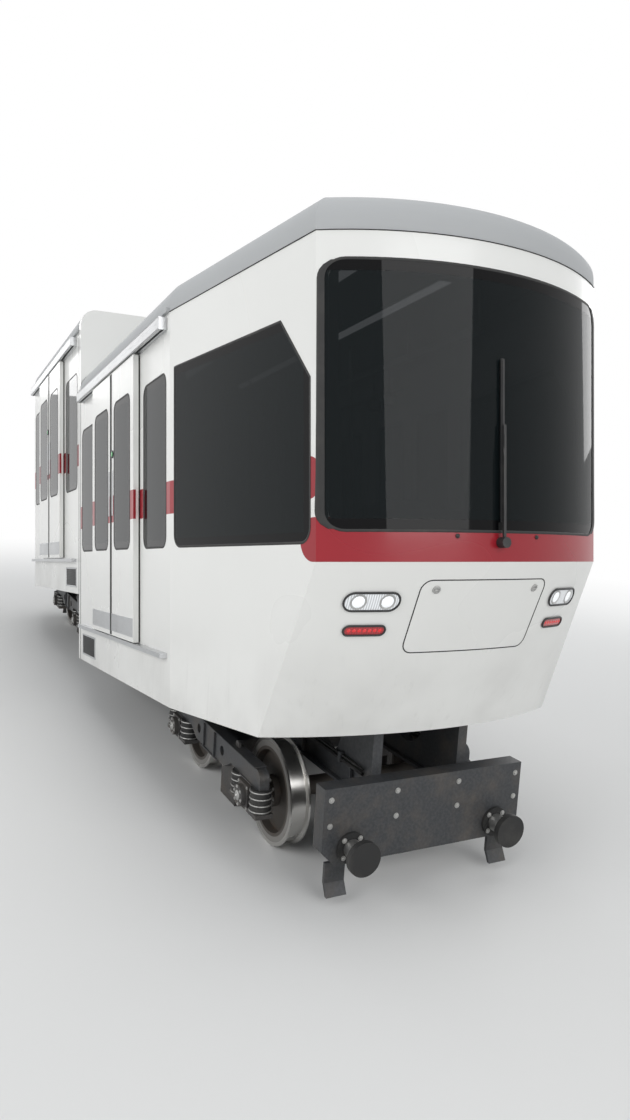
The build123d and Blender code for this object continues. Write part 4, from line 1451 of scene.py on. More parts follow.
@dataclass(frozen=True)
class Doors:
    """Seals, grips, kick plates and buttons of the sliding leaves, and their runners' trims."""

    meeting_gap: float = 0.006
    leaf_width: float = 0.659
    leaf_bottom: float = -0.014
    leaf_top: float = 1.952
    leaf_frame: float = 0.095
    inner: float = 1.112
    travel: float = 0.620
    seal_width: float = 0.020
    grip_inset: float = 0.052
    grip_middle: float = 1.05
    grip_length: float = 0.34
    kick_middle: float = 0.085
    kick_height: float = 0.13
    button_height: float = 1.34
    button_ring: Profile = ((0.030, 0.0), (0.030, 0.005), (0.027, 0.007), (0.021, 0.007), (0.0205, 0.004))
    button_cap: Profile = ((0.0195, 0.003), (0.0195, 0.0072), (0.016, 0.0090), (0.008, 0.0095))
    runner_middle: float = 1.129
    runner_face: float = 1.1555
    runner_depth: float = 0.056
    runner_height: float = 0.080
    jamb_width: float = 0.007

    def near(self, way: int) -> float:
        """Meeting edge of a closed leaf, way 1 for the outer leaf and -1 for the inner one."""
        return CAR.doorway_centre + way * self.meeting_gap / 2

    def span(self, way: int) -> Pair:
        """Limits of a closed leaf along the car."""
        return tuple(sorted((self.near(way), self.near(way) + way * self.leaf_width)))

    def leaf_rubber(self, way: int) -> Sheet:
        """Bead round a leaf's pane, seals along its meeting edge and a brush at its foot.

        Args:
            way: 1 for the leaf that opens away from the middle of the car, -1 for the other.

        Returns:
            Its skins.
        """
        start, stop = self.span(way)
        near, face, depth = self.near(way), CAR.leaf_outer, CAR.leaf_outer - self.inner
        reach, middle = self.leaf_top - self.leaf_bottom - 0.01, (self.leaf_top + self.leaf_bottom) / 2
        outline = PANE_BEAD.outline(start + self.leaf_frame, stop - self.leaf_frame, face)
        part = Sheet().bead(outline, PANE_BEAD.section())
        seat = (near + way * self.seal_width / 2, face + 0.0005, middle)
        part.block(seat, (self.seal_width, 0.005, reach), 0.002)
        edge = (near + way * 0.0005, (face + self.inner) / 2, middle)
        part.block(edge, (0.004, depth * 0.6, reach), 0.001)
        foot = ((start + stop) / 2, self.inner - 0.001, self.leaf_bottom + 0.02)
        return part.block(foot, (stop - start - 0.02, 0.006, 0.012), 0.002)

    def leaf_fittings(self, way: int) -> Sheet:
        """Grip and kick plate of a leaf with their screws.

        Args:
            way: 1 for the outer leaf, -1 for the inner one.

        Returns:
            Its skins.
        """
        start, stop = self.span(way)
        middle, face = (start + stop) / 2, CAR.leaf_outer
        grip, pitch = self.near(way) + way * self.grip_inset, (stop - start - 0.10) / 4
        part = Sheet().block((grip, face + 0.0015, self.grip_middle), (0.030, 0.007, self.grip_length), 0.003)
        plate = (stop - start - 0.03, 0.003, self.kick_height)
        part.block((middle, face + 0.001, self.kick_middle), plate, 0.001)
        screws = [(middle + n * pitch, face + 0.0015, z) for n in range(-2, 3) for z in (0.035, 0.135)]
        part.bolts(screws, OUTWARD, 0.0045, 0.0025)
        heads = [(grip, face + 0.004, self.grip_middle + up * 0.15) for up in WAYS]
        return part.bolts(heads, OUTWARD, 0.0042, 0.0028)

    def runner_fittings(self) -> Sheet:
        """End plates, drip lips and a row of screws of a runner's channel.

        Returns:
            Its skins.
        """
        reach = self.leaf_width + self.travel + self.meeting_gap / 2 + 0.012
        low, centre = self.leaf_top + 0.008, CAR.doorway_centre
        middle = low + self.runner_height / 2
        part = Sheet()
        for way in WAYS:
            place = (centre + way * (reach + 0.002), self.runner_middle, middle)
            part.block(place, (0.004, self.runner_depth, self.runner_height), 0.0015)
        for rise in (0.076, 0.004):
            part.block((centre, self.runner_face + 0.001, low + rise), (2 * reach, 0.003, 0.006), 0.001)
        along = centre + np.linspace(-reach + 0.05, reach - 0.05, 13)
        return part.bolts([(x, self.runner_face, middle) for x in along], OUTWARD, 0.0055, 0.0025)

    def jamb_seals(self) -> Sheet:
        """Rubber strips round a doorway that close the slit between wall and leaves.

        Returns:
            Its skins.
        """
        depth = self.inner - CAR.half_width - 0.0015
        across, centre = CAR.half_width + depth / 2, CAR.doorway_centre
        part = Sheet()
        for way in WAYS:
            place = (centre + way * (CAR.doorway_width / 2 + 0.0045), across, 0.965)
            part.block(place, (self.jamb_width, depth, 1.94), 0.002)
        for height in (1.9445, -0.0065):
            size = (CAR.doorway_width + 0.016, depth, self.jamb_width)
            part.block((centre, across, height), size, 0.002)
        return part

    def leaf_rows(self, way: int) -> list[tuple[str, Stock, Sheet]]:
        """Pieces of a leaf.

        Args:
            way: 1 for the outer leaf, which carries the button, -1 for the inner one.

        Returns:
            Name, stock and skins of each piece.
        """
        place = (self.near(way) + way * self.grip_inset, CAR.leaf_outer, self.button_height)
        ring, cap = (Sheet().lathe(row, place, OUTWARD, 28) for row in (self.button_ring, self.button_cap))
        rows = [
            ("leaf_rubber", RUBBER, self.leaf_rubber(way)),
            ("leaf_fittings", ALUMINIUM, self.leaf_fittings(way)),
            ("door_button", PLASTIC, ring),
            ("door_button_cap", Stock(GREEN_BUTTON, "lamp_glass"), cap),
        ]
        return rows if way > 0 else rows[:2]

    def build(self) -> None:
        """Dress the eight leaves, whose pieces ride on them, the four runners and the doorways."""
        rows = {way: self.leaf_rows(way) for way in WAYS}
        for (end, hand), way in product(QUARTERS, WAYS):
            leaf = f"{hand.label}_{end.label}_{'outer' if way > 0 else 'inner'}"
            for name, stock, part in rows[way]:
                part.copies([(end, hand)]).build(f"{name}_{leaf}", stock, f"leaf_{leaf}")
        self.runner_fittings().copies().build("runner_fittings", ALUMINIUM)
        self.jamb_seals().copies().build("jamb_seals", RUBBER)


@dataclass(frozen=True)
class SlotLamp:
    """Lamp whose glass is a slot with half-round ends, laid on the curved end."""

    width: float
    height: float
    centre: float
    across: float = 0.590
    stand_out: float = 0.008

    def outline(self) -> Array:
        """Edge of the lamp: two half circles joined by straight lines.

        Returns:
            Closed path in compartment coordinates.
        """
        radius = self.height / 2
        half = self.width / 2 - radius
        side = np.column_stack([np.linspace(half, -half, 12), np.full(12, radius)])[1:-1]
        left, right = arc((half, 0), radius, -90, 90, 14), arc((-half, 0), radius, 90, 270, 14)
        flat = np.concatenate([left, side, right, -side]) + (self.across, self.centre)
        return CAR.out_of_nose(np.insert(flat, 0, self.stand_out, axis=1))

    def glass(self) -> Sheet:
        """Glass that follows the end's curve.

        Stations run across the lamp. At each, the half height is that of a slot, and the
        front swells by a parabola of the share of that height.

        Returns:
            Its skins.
        """
        radius, back = self.height / 2, -0.006
        across = self.width / 2 * np.sin(np.linspace(-np.pi / 2, np.pi / 2, 33))
        beyond = np.maximum(np.abs(across) - (self.width / 2 - radius), 0)
        half = np.sqrt(np.maximum(radius ** 2 - beyond ** 2, 1e-6))
        share = np.array([-1, -1, -0.75, -0.4, 0, 0.4, 0.75, 1, 1])
        front = self.stand_out - 0.002 + 0.003 * (1 - share[1:-1] ** 2)
        height = half[:, None] * share + self.centre
        grid = np.broadcast_arrays(np.array([back, *front, back]), across[:, None] + self.across, height)
        return Sheet().loft(CAR.out_of_nose(np.stack(grid, axis=-1)))

    def optics(self, profile: Profile, offsets: Iterable[float], out: float = 0.0, sides: int = 28) -> Sheet:
        """Turned optics in a row, laid on the end's curve.

        Args:
            profile: Rows of radius and distance out of the glass.
            offsets: Places across, from the lamp's middle.
            out: Distance of the profile's foot out of the glass.
            sides: Points on each circle.

        Returns:
            Its skins.
        """
        part = Sheet()
        for offset in offsets:
            part.lathe(profile, (self.stand_out + out, self.across + offset, self.centre), FORWARD, sides)
        return part.mapped(CAR.out_of_nose)


HEADLAMP = SlotLamp(0.250, 0.086, 0.353)
TAIL_LAMP = SlotLamp(0.190, 0.046, 0.213)


@dataclass(frozen=True)
class EndFittings:
    """Lamp rims and optics, service flap, washer jets and wiper fittings of both ends."""

    rim: float = 0.0055
    beams: Pair = (-0.068, 0.062)
    bowl: Profile = ((0.036, -0.002), (0.036, 0.003), (0.033, 0.0035), (0.029, 0.0012))
    beam: Profile = ((0.028, 0.0), (0.027, 0.003), (0.022, 0.0055), (0.013, 0.007), (0.004, 0.0075))
    point: Profile = ((0.0092, 0.0), (0.0086, 0.002), (0.006, 0.004), (0.002, 0.005))
    point_pitch: float = 0.0235
    flap: tuple[float, float, float] = (0.76, 0.36, 0.05)
    flap_middle: float = 0.275
    flap_step: float = 0.05
    flap_out: Place = (1.0, 0.0, -0.5)
    joint: Profile = ((-0.003, -0.002), (0.003, -0.002), (0.003, 0.0008), (-0.003, 0.0008))
    lock: Profile = ((0.021, -0.003), (0.021, 0.004), (0.018, 0.0055), (0.013, 0.0055), (0.0125, 0.003))
    lock_across: float = 0.30
    lock_height: float = 0.41
    jet: Profile = ((0.011, -0.002), (0.011, 0.004), (0.007, 0.009), (0.003, 0.012))
    jet_across: float = 0.24
    jet_height: float = 0.662
    wiper_foot: float = 0.633
    wiper_nut: Profile = ((0.016, 0.036), (0.015, 0.044), (0.009, 0.0475))

    def build_lamps(self) -> None:
        """Glasses, rims, two projector lenses in bright bowls, and a row of red light points."""
        rims = Sheet()
        for lamp in (HEADLAMP, TAIL_LAMP):
            rims.bead(lamp.outline(), oval(self.rim, self.rim * 0.9), FORWARD)
        points = TAIL_LAMP.optics(self.point, np.arange(-3, 4) * self.point_pitch, -0.001, 16)
        for name, stock, part, nodes in (
            ("headlamp_glasses", Stock(CLEAR_LENS, "lamp_glass"), HEADLAMP.glass(), ("headlamps",)),
            ("tail_lamp_glasses", Stock(RED_LENS, "red_lens"), TAIL_LAMP.glass(), ("tail_lamps",)),
            ("lamp_rims", PLASTIC, rims, ()),
            ("lamp_bowls", STEEL, HEADLAMP.optics(self.bowl, self.beams), ()),
            ("headlamp_lenses", Stock(BEAM_LENS, "lamp_glass"), HEADLAMP.optics(self.beam, self.beams), ()),
            ("tail_lamp_points", Stock(RED_POINT, "red_lens"), points, ()),
        ):
            part.copies().build(name, stock, replaces=nodes)

    def face_normal(self, across: float, height: float) -> Array:
        """Direction out of the raked face: the slopes of its formula by small steps.

        Args:
            across: Distance from the car's middle plane.
            height: Height over the floor.

        Returns:
            Unit vector.
        """
        step = 1e-4
        here = float(CAR.nose_x(across, height))
        by_y = (float(CAR.nose_x(across + step, height)) - here) / step
        by_z = (float(CAR.nose_x(across, height + step)) - here) / step
        return unit(np.array([1.0, -by_y, -by_z]))

    def build_flaps(self) -> None:
        """Joint round the service flap, laid on the raked lower end, and its two locks."""
        width, height, radius = self.flap
        flat = subdivided(rounded_outline(width, height, radius, 6), self.flap_step)
        joint = Sheet().bead(CAR.on_nose(flat + (0.0, self.flap_middle)), np.array(self.joint), self.flap_out)
        joint.copies(ENDS).build("flap_joints", RUBBER)
        locks = Sheet()
        for across in (-self.lock_across, self.lock_across):
            place = CAR.out_of_nose(np.array([0.0, across, self.lock_height]))
            out = self.face_normal(across, self.lock_height)
            locks.lathe(self.lock, place, out, 24).block(place + out * 0.005, (0.006, 0.022, 0.005), 0.001)
        locks.copies(ENDS).build("flap_locks", STEEL)

    def build_wipers(self) -> None:
        """Nut, arm, blade carrier and hose of the wiper, and the two washer jets."""
        nose = CAR.nose
        part = Sheet().lathe(self.wiper_nut, (nose, 0.0, self.wiper_foot), FORWARD, 6)
        part.block((nose + 0.013, 0.0, 1.12), (0.012, 0.016, 0.78), 0.002)
        part.block((nose + 0.0335, 0.0, 0.95), (0.008, 0.012, 0.40), 0.002)
        hose = [(0.040, 0.009, 0.66), (0.041, 0.010, 0.80), (0.041, 0.010, 1.04), (0.036, 0.010, 1.08)]
        part.tube(np.array(hose) + (nose, 0.0, 0.0), 0.003, 8)
        for across in (-self.jet_across, self.jet_across):
            part.lathe(self.jet, CAR.out_of_nose(np.array([0.0, across, self.jet_height])), FORWARD, 14)
        part.copies(ENDS).build("wiper_fittings", PLASTIC)

    def build(self) -> None:
        """Make the lamps, the flaps and the wipers' fittings."""
        self.build_lamps()
        self.build_flaps()
        self.build_wipers()


@dataclass(frozen=True)
class BodyTrims:
    """Joint strips, rivets and skirt grilles of the bodyshell."""

    roof_shoulder: float = 0.150
    portal_face: float = 0.040
    strip: Pair = (0.006, 0.0022)
    rivet: Profile = ((0.0055, -0.001), (0.0055, 0.0006), (0.004, 0.0022), (0.0015, 0.003))
    rivet_height: float = -0.322
    straight_rivets: tuple[float, float, int] = (0.12, 2.68, 17)
    taper_rivets: tuple[float, float, int] = (2.9, 3.7, 6)
    grille: tuple[float, float, float, float] = (0.16, 0.66, -0.285, -0.115)
    slat: Profile = ((-0.0005, -0.006), (0.0045, -0.001), (0.0045, 0.0008), (-0.0005, -0.0042))
    slats: int = 10

    def hoop(self) -> Array:
        """Cross section of a compartment at the portal: up one side, over the roof and down.

        Returns:
            Open path in compartment coordinates.
        """
        half, r, foot, elbow = CAR.half_width, self.roof_shoulder, -CAR.skirt_drop, 1.0
        left = arc((half - r, CAR.roof_top - r), r, 0, 90, 9)
        right = arc((-(half - r), CAR.roof_top - r), r, 90, 180, 9)
        path = np.concatenate([[(half, foot), (half, elbow)], left, right, [(-half, elbow), (-half, foot)]])
        return np.insert(path, 0, self.portal_face, axis=1)

    def eaves(self) -> Array:
        """Plan outline at the top of the walls: along the side, round the end and back.

        Returns:
            Open path in compartment coordinates.
        """
        side = np.array([(CAR.taper_start, CAR.half_width), (CAR.corner, CAR.corner_half_width)])
        across = np.linspace(CAR.corner_half_width, -CAR.corner_half_width, 25)[1:-1]
        nose = np.column_stack([CAR.nose_x(across, 1.0), across])
        plan = np.concatenate([side, nose, side[::-1] * (1.0, -1.0)])
        return np.insert(plan, 2, CAR.wall_height, axis=1)

    def rivets(self) -> Sheet:
        """Domes along the skirt's lower edge, on the straight and the tapered part.

        Returns:
            Its skins.
        """
        part = Sheet()
        for run, lean in ((self.straight_rivets, 0.0), (self.taper_rivets, math.sin(CAR.taper))):
            for along in np.linspace(*run):
                place = (along, float(CAR.side_y(along)), self.rivet_height)
                part.lathe(self.rivet, place, (lean, 1, 0), 10)
        return part

    def grille_frame(self) -> Sheet:
        """Frame of the skirt grille beside the portal, with a screw at each corner.

        Returns:
            Its skins.
        """
        start, stop, low, high = self.grille
        face, part = CAR.half_width, Sheet()
        for z in (low, high):
            part.block(((start + stop) / 2, face + 0.002, z), (stop - start + 0.024, 0.006, 0.014), 0.002)
        for x in (start, stop):
            part.block((x, face + 0.002, (low + high) / 2), (0.014, 0.006, high - low), 0.002)
        return part.bolts(product((start, stop), (face + 0.005,), (low, high)), OUTWARD, 0.004, 0.0022)

    def grille_slats(self) -> Sheet:
        """Tilted slats of the grille over a black sheet, painted shade that stands for the dark opening
        behind them.

        Returns:
            Its skins.
        """
        start, stop, low, high = self.grille
        middle = ((start + stop) / 2, CAR.half_width + 0.0002, (low + high) / 2)
        # Painted shade: a black sheet on the wall's face stands for the shaded opening behind the slats.
        part = Sheet().block(middle, (stop - start, 0.001, high - low), 0.0002)
        for z in np.linspace(low + 0.014, high - 0.014, self.slats):
            lean = np.array(self.slat) + (CAR.half_width, z)
            part.loft(np.stack([np.insert(lean, 0, x, axis=1) for x in (start, stop)]))
        return part

    def build(self) -> None:
        """Make the strips at the portal and the eaves, the rivets and the grilles."""
        section = oval(*self.strip)
        strips = Sheet().sweep(self.hoop(), section[:, ::-1]).sweep(self.eaves(), section)
        strips.copies(ENDS).build("body_joint_strips", RUBBER)
        self.rivets().copies().build("skirt_rivets", Stock(WHITE_PLAIN, "body_paint"))
        self.grille_slats().copies().build("skirt_grille_slats", PLASTIC)
        self.grille_frame().copies().build("skirt_grille_frames", ALUMINIUM)


@dataclass(frozen=True)
class RunningGear:
    """Fittings of the bogies and wheelsets, measured from the middle of a bogie on the track."""

    bogie_middle: float = 0.120
    bogie_spacing: float = 5.200
    wheelbase: float = 1.300
    axle_height: float = 0.300
    frame_y: float = 0.710
    rail_y: float = 0.532
    hub_face: float = 0.065
    hub_circle: float = 0.077
    cover_face: float = 0.795
    cover_circle: float = 0.051
    box_face: float = 0.765
    box_corner: Pair = (0.064, 0.063)
    cap: Profile = (
        (0.030, 0.0), (0.030, 0.004), (0.024, 0.008), (0.010, 0.009), (0.006, 0.014), (0.004, 0.016)
    )
    spring_heights: tuple[float, float, int] = (0.263, 0.378, 4)
    spring_offset: float = 0.145
    spring_rim: Profile = ((0.058, -0.003), (0.067, -0.003), (0.068, 0.0), (0.067, 0.003), (0.058, 0.003))
    lug_place: float = 0.42
    lug_radius: float = 0.030
    lug_heights: Pair = (0.515, 0.505)
    cylinder_face: float = 0.644
    cylinder_height: float = 0.260
    cylinder_circle: float = 0.030
    pipe: tuple[Place, ...] = (
        (0.0, 0.644, 0.292), (0.0, 0.656, 0.315), (0.02, 0.658, 0.345), (0.06, 0.668, 0.400),
        (0.08, 0.668, 0.455), (0.16, 0.668, 0.475), (0.45, 0.668, 0.478),
    )
    pipe_radius: float = 0.0065

    def ring_bolts(self, sheet: Sheet, centre: Sequence[float], side: int, radius: float, count: int,
                   size: float) -> None:
        """Circle of bolts on a face square to Y.

        Args:
            sheet: Sheet that takes them.
            centre: Middle of the circle.
            side: Direction along Y that the heads point in.
            radius: Radius of the circle.
            count: Number of bolts.
            size: Radius of a head.
        """
        angles = np.arange(count) * 2 * np.pi / count + 0.3
        flat = np.stack([centre[0] + radius * np.cos(angles), centre[2] + radius * np.sin(angles)], axis=-1)
        sheet.bolts(upright(flat, centre[1]), (0, side, 0), size, size * 0.75)

    def hub_bolts(self, x: float) -> Sheet:
        """Rings of bolts on both faces of both hubs of a wheelset.

        Args:
            x: Place of the axle.

        Returns:
            Its skins.
        """
        part = Sheet()
        for side, out in product(WAYS, (1, -1)):
            place = (x, side * (self.rail_y + out * self.hub_face), self.axle_height)
            self.ring_bolts(part, place, side * out, self.hub_circle, 8, 0.0085)
        return part

    def add_box(self, bolts: Sheet, x: float, side: int) -> None:
        """Cover bolts, grease cap and corner bolts of an axle box.

        Args:
            bolts: Sheet that takes them.
            x: Place of the axle.
            side: 1 for the left, -1 for the right.
        """
        place, (wide, high) = (x, side * self.cover_face, self.axle_height), self.box_corner
        self.ring_bolts(bolts, place, side, self.cover_circle, 6, 0.0075)
        bolts.lathe(self.cap, place, (0, side, 0), 24)
        heights = (self.axle_height - high, self.axle_height + high)
        corners = product((x - wide, x + wide), (side * self.box_face,), heights)
        bolts.bolts(corners, (0, side, 0), 0.007, 0.005)

    def add_spring(self, rings: Sheet, x: float, side: int) -> None:
        """Steel plates between the rubber layers of a spring: wider discs with rounded rims."""
        for z in np.linspace(*self.spring_heights):
            rings.lathe(self.spring_rim, (x, side * self.frame_y, z), UPWARD, 28)

    def add_frame(self, plates: Sheet, side: int) -> None:
        """Flange plates, brackets and lifting lugs of a side frame.

        Args:
            plates: Sheet that takes them.
            side: 1 for the left, -1 for the right.
        """
        y, r, (eye, foot) = side * self.frame_y, self.lug_radius, self.lug_heights
        plates.block((0.0, y, 0.504), (1.55, 0.082, 0.009), 0.003)
        plates.block((0.0, y, 0.327), (0.32, 0.082, 0.009), 0.003)
        for way in WAYS:
            plates.block((way * 0.64, y, 0.387), (0.36, 0.078, 0.008), 0.002)
            plates.block((way * 0.10, y + side * 0.034, 0.415), (0.012, 0.022, 0.155), 0.002)
            x = way * self.lug_place
            lug = np.concatenate([arc((x, eye), r, 0, 180, 9), [(x - r, foot), (x + r, foot)]])
            plates.loft(np.stack([upright(lug, y + t) for t in (-0.007, 0.007)]))

    def add_brake(self, bolts: Sheet, pipes: Sheet, side: int) -> None:
        """Bolts of a rail brake and the pipe that runs from its cylinder up along the frame.

        Args:
            bolts: Sheet that takes the bolts.
            pipes: Sheet that takes the pipe.
            side: 1 for the left, -1 for the right.
        """
        place = (0.0, side * self.cylinder_face, self.cylinder_height)
        self.ring_bolts(bolts, place, side, self.cylinder_circle, 6, 0.0055)
        pipes.tube(smooth_path(np.array(self.pipe) * (1, side, 1), 6), self.pipe_radius, 10)
        seats = product((-0.09, 0.09), (side * (self.rail_y + 0.067),), (0.225, 0.290))
        bolts.bolts(seats, (0, side, 0), 0.008, 0.006)

    def build(self) -> None:
        """Dress both bogies and the four wheelsets."""
        bolts, plates, rings, pipes = Sheet(), Sheet(), Sheet(), Sheet()
        axles = (-self.wheelbase / 2, self.wheelbase / 2)
        for side in WAYS:
            self.add_frame(plates, side)
            self.add_brake(bolts, pipes, side)
            for x in axles:
                self.add_box(bolts, x, side)
                for way in WAYS:
                    self.add_spring(rings, x + way * self.spring_offset, side)
        for end in End:
            middle, label = (self.bogie_middle + end.value * self.bogie_spacing / 2, 0.0, 0.0), end.label
            rows = [
                (f"bogie_bolts_{label}", FASTENERS, bolts, f"bogie_{label}"),
                (f"bogie_plates_{label}", FRAME_PLATE, plates, f"bogie_{label}"),
                (f"spring_plates_{label}", FASTENERS, rings, f"bogie_{label}"),
                (f"brake_pipes_{label}", RUBBER, pipes, f"bogie_{label}"),
            ]
            for number, x in enumerate(axles, 1):
                name = f"{label}_{number}"
                rows.append((f"hub_fittings_{name}", FASTENERS, self.hub_bolts(x), f"wheelset_{name}"))
            for name, stock, part, body in rows:
                part.mapped(lambda points: CAR.track(points + middle)).build(name, stock, body)


@dataclass(frozen=True)
class ChassisFittings:
    """Bolts, stiffeners, pipes and case lids under the floor, in the track frame."""

    headstock_face: float = 3.910
    buffer_y: float = 0.470
    buffer_height: float = 0.290
    buffer_circle: float = 0.067
    sleeve: Profile = (
        (0.0487, 0.017), (0.0500, 0.018), (0.0500, 0.085), (0.0560, 0.087), (0.0560, 0.104), (0.0487, 0.106)
    )
    anchor_height: float = 0.320
    anchor_bolt: Pair = (0.072, 0.068)
    girder_y: float = 0.280
    stiffeners: tuple[float, ...] = (-3.62, -3.02, -2.12, -1.32, -0.62, 0.10, 1.52, 2.0, 2.5, 3.2, 3.66)
    pipes: tuple[Pair, ...] = ((0.602, 0.010), (0.628, 0.007))
    pipe_runs: tuple[Pair, ...] = ((-3.70, 0.345), (1.455, 3.70))
    clips: tuple[tuple[float, float, int], ...] = ((-3.5, 0.1, 9), (1.7, 3.5, 5))
    case_start: float = 0.350
    case_length: float = 1.100
    case_face: float = 0.870
    case_bottom: float = 0.500
    case_height: float = 0.290
    rib_pitch: float = 0.16
    hinge_pitch: float = 0.36
    hinge: Profile = ((0.007, -0.035), (0.007, 0.035))
    latch_place: float = 0.30
    latch: Profile = ((0.009, 0.0), (0.009, 0.012), (0.006, 0.014))
    handle: Pair = (0.07, 0.018)

    def headstock_bolts(self) -> Sheet:
        """Four bolts round each buffer's foot and at the anchor's corners, and rows on the ends.

        Returns:
            Its skins.
        """
        part, seat, (wide, high) = Sheet(), self.headstock_face + 0.016, self.anchor_bolt
        for way in WAYS:
            for side in WAYS:
                circle = arc((side * self.buffer_y, self.buffer_height), self.buffer_circle, 45, 315, 4)
                part.bolts(np.insert(circle, 0, way * seat, axis=1), (way, 0, 0), 0.010, 0.008)
            rows = product((way * self.headstock_face,), (-0.60, -0.20, 0.20, 0.60), (0.42, 0.56))
            part.bolts(rows, (way, 0, 0), 0.011, 0.008)
        heights = (self.anchor_height - high, self.anchor_height + high)
        corners = product((self.headstock_face + 0.024,), (-wide, wide), heights)
        return part.bolts(corners, FORWARD, 0.011, 0.009)

    def buffer_sleeves(self) -> Sheet:
        """Steel sleeve and collar over each buffer's stem.

        Returns:
            Its skins.
        """
        part = Sheet()
        for way, side in product(WAYS, WAYS):
            place = (way * self.headstock_face, side * self.buffer_y, self.buffer_height)
            part.lathe(self.sleeve, place, (way, 0, 0), 32)
        return part

    def girder_fittings(self) -> tuple[Sheet, Sheet]:
        """Stiffeners and clips on the girders' outer faces, and two pipes that run into the cases.

        Returns:
            Skins of the plates and of the pipes.
        """
        plates, pipes = Sheet(), Sheet()
        for side in WAYS:
            for x in self.stiffeners:
                plates.block((x, side * (self.girder_y + 0.042), 0.535), (0.010, 0.024, 0.108), 0.002)
            y = side * (self.girder_y + 0.046)
            for (z, radius), (start, end) in product(self.pipes, self.pipe_runs):
                route = np.array([(x, y, z) for x in (start, start + 0.3, end - 0.3, end)])
                pipes.tube(smooth_path(route, 4), radius, 10)
            for x in np.concatenate([np.linspace(*run) for run in self.clips]):
                plates.block((x, y, 0.615), (0.022, 0.034, 0.062), 0.003)
        return plates, pipes

    def case_lids(self) -> tuple[Sheet, Sheet]:
        """Pressed ribs, hinges, latches and a handle on each case's lid.

        Returns:
            Skins of the ribs and of the fittings.
        """
        ribs, metal = Sheet(), Sheet()
        middle = self.case_start + self.case_length / 2
        centre = self.case_bottom + self.case_height / 2
        half, reach = self.handle
        for side in WAYS:
            face = side * (self.case_face - 0.005)
            for n in range(6):
                place = (middle + (n - 2.5) * self.rib_pitch, face + side * 0.002, centre)
                ribs.block(place, (0.055, 0.006, 0.130), 0.0025)
            for n in (-1, 0, 1):
                x = middle + n * self.hinge_pitch
                metal.lathe(self.hinge, (x, face + side * 0.005, centre - 0.092), FORWARD, 12)
                metal.block((x, face + side * 0.002, centre - 0.080), (0.060, 0.005, 0.026), 0.0015)
            for x in (middle - self.latch_place, middle + self.latch_place):
                metal.block((x, face + side * 0.003, centre + 0.082), (0.030, 0.008, 0.034), 0.002)
                metal.lathe(self.latch, (x, face, centre + 0.082), (0, side, 0), 16)
            bends = ((-half, 0.0), (-half, reach), (half, reach), (half, 0.0))
            grip = np.array([(middle + along, face + side * out, centre + 0.08) for along, out in bends])
            metal.tube(smooth_path(grip, 5), 0.0055, 10)
        return ribs, metal

    def build(self) -> None:
        """Make the chassis pieces, all of which ride on the car."""
        plates, pipes = self.girder_fittings()
        ribs, metal = self.case_lids()
        for name, stock, part in (
            ("headstock_bolts", FASTENERS, self.headstock_bolts()),
            ("buffer_sleeves", STEEL, self.buffer_sleeves()),
            ("girder_stiffeners", FRAME_PLATE, plates), ("chassis_pipes", RUBBER, pipes),
            ("case_ribs", GREY_PLATE, ribs), ("case_fittings", FASTENERS, metal),
        ):
            part.mapped(CAR.track).build(name, stock)


@dataclass(frozen=True)
class DeskTop:
    """Sloping top of a control desk."""

    half_width: float = 0.480
    depth: float = 0.300
    height: float = 0.820
    fall: float = 0.110
    clearance: float = 0.100

    def laid(self, points: Array) -> Array:
        """Carry points of the desk's top into the compartment.

        Args:
            points: Distances from the front edge, across, and out of the top.

        Returns:
            The points in compartment coordinates.
        """
        front = float(CAR.nose_x(self.half_width, 0.0)) - self.clearance
        lean = math.atan2(self.fall, self.depth)
        back, across, up = points[..., 0], points[..., 1], points[..., 2]
        along = front - back * math.cos(lean) - up * math.sin(lean)
        return np.stack([along, across, self.height - back * math.sin(lean) + up * math.cos(lean)], axis=-1)


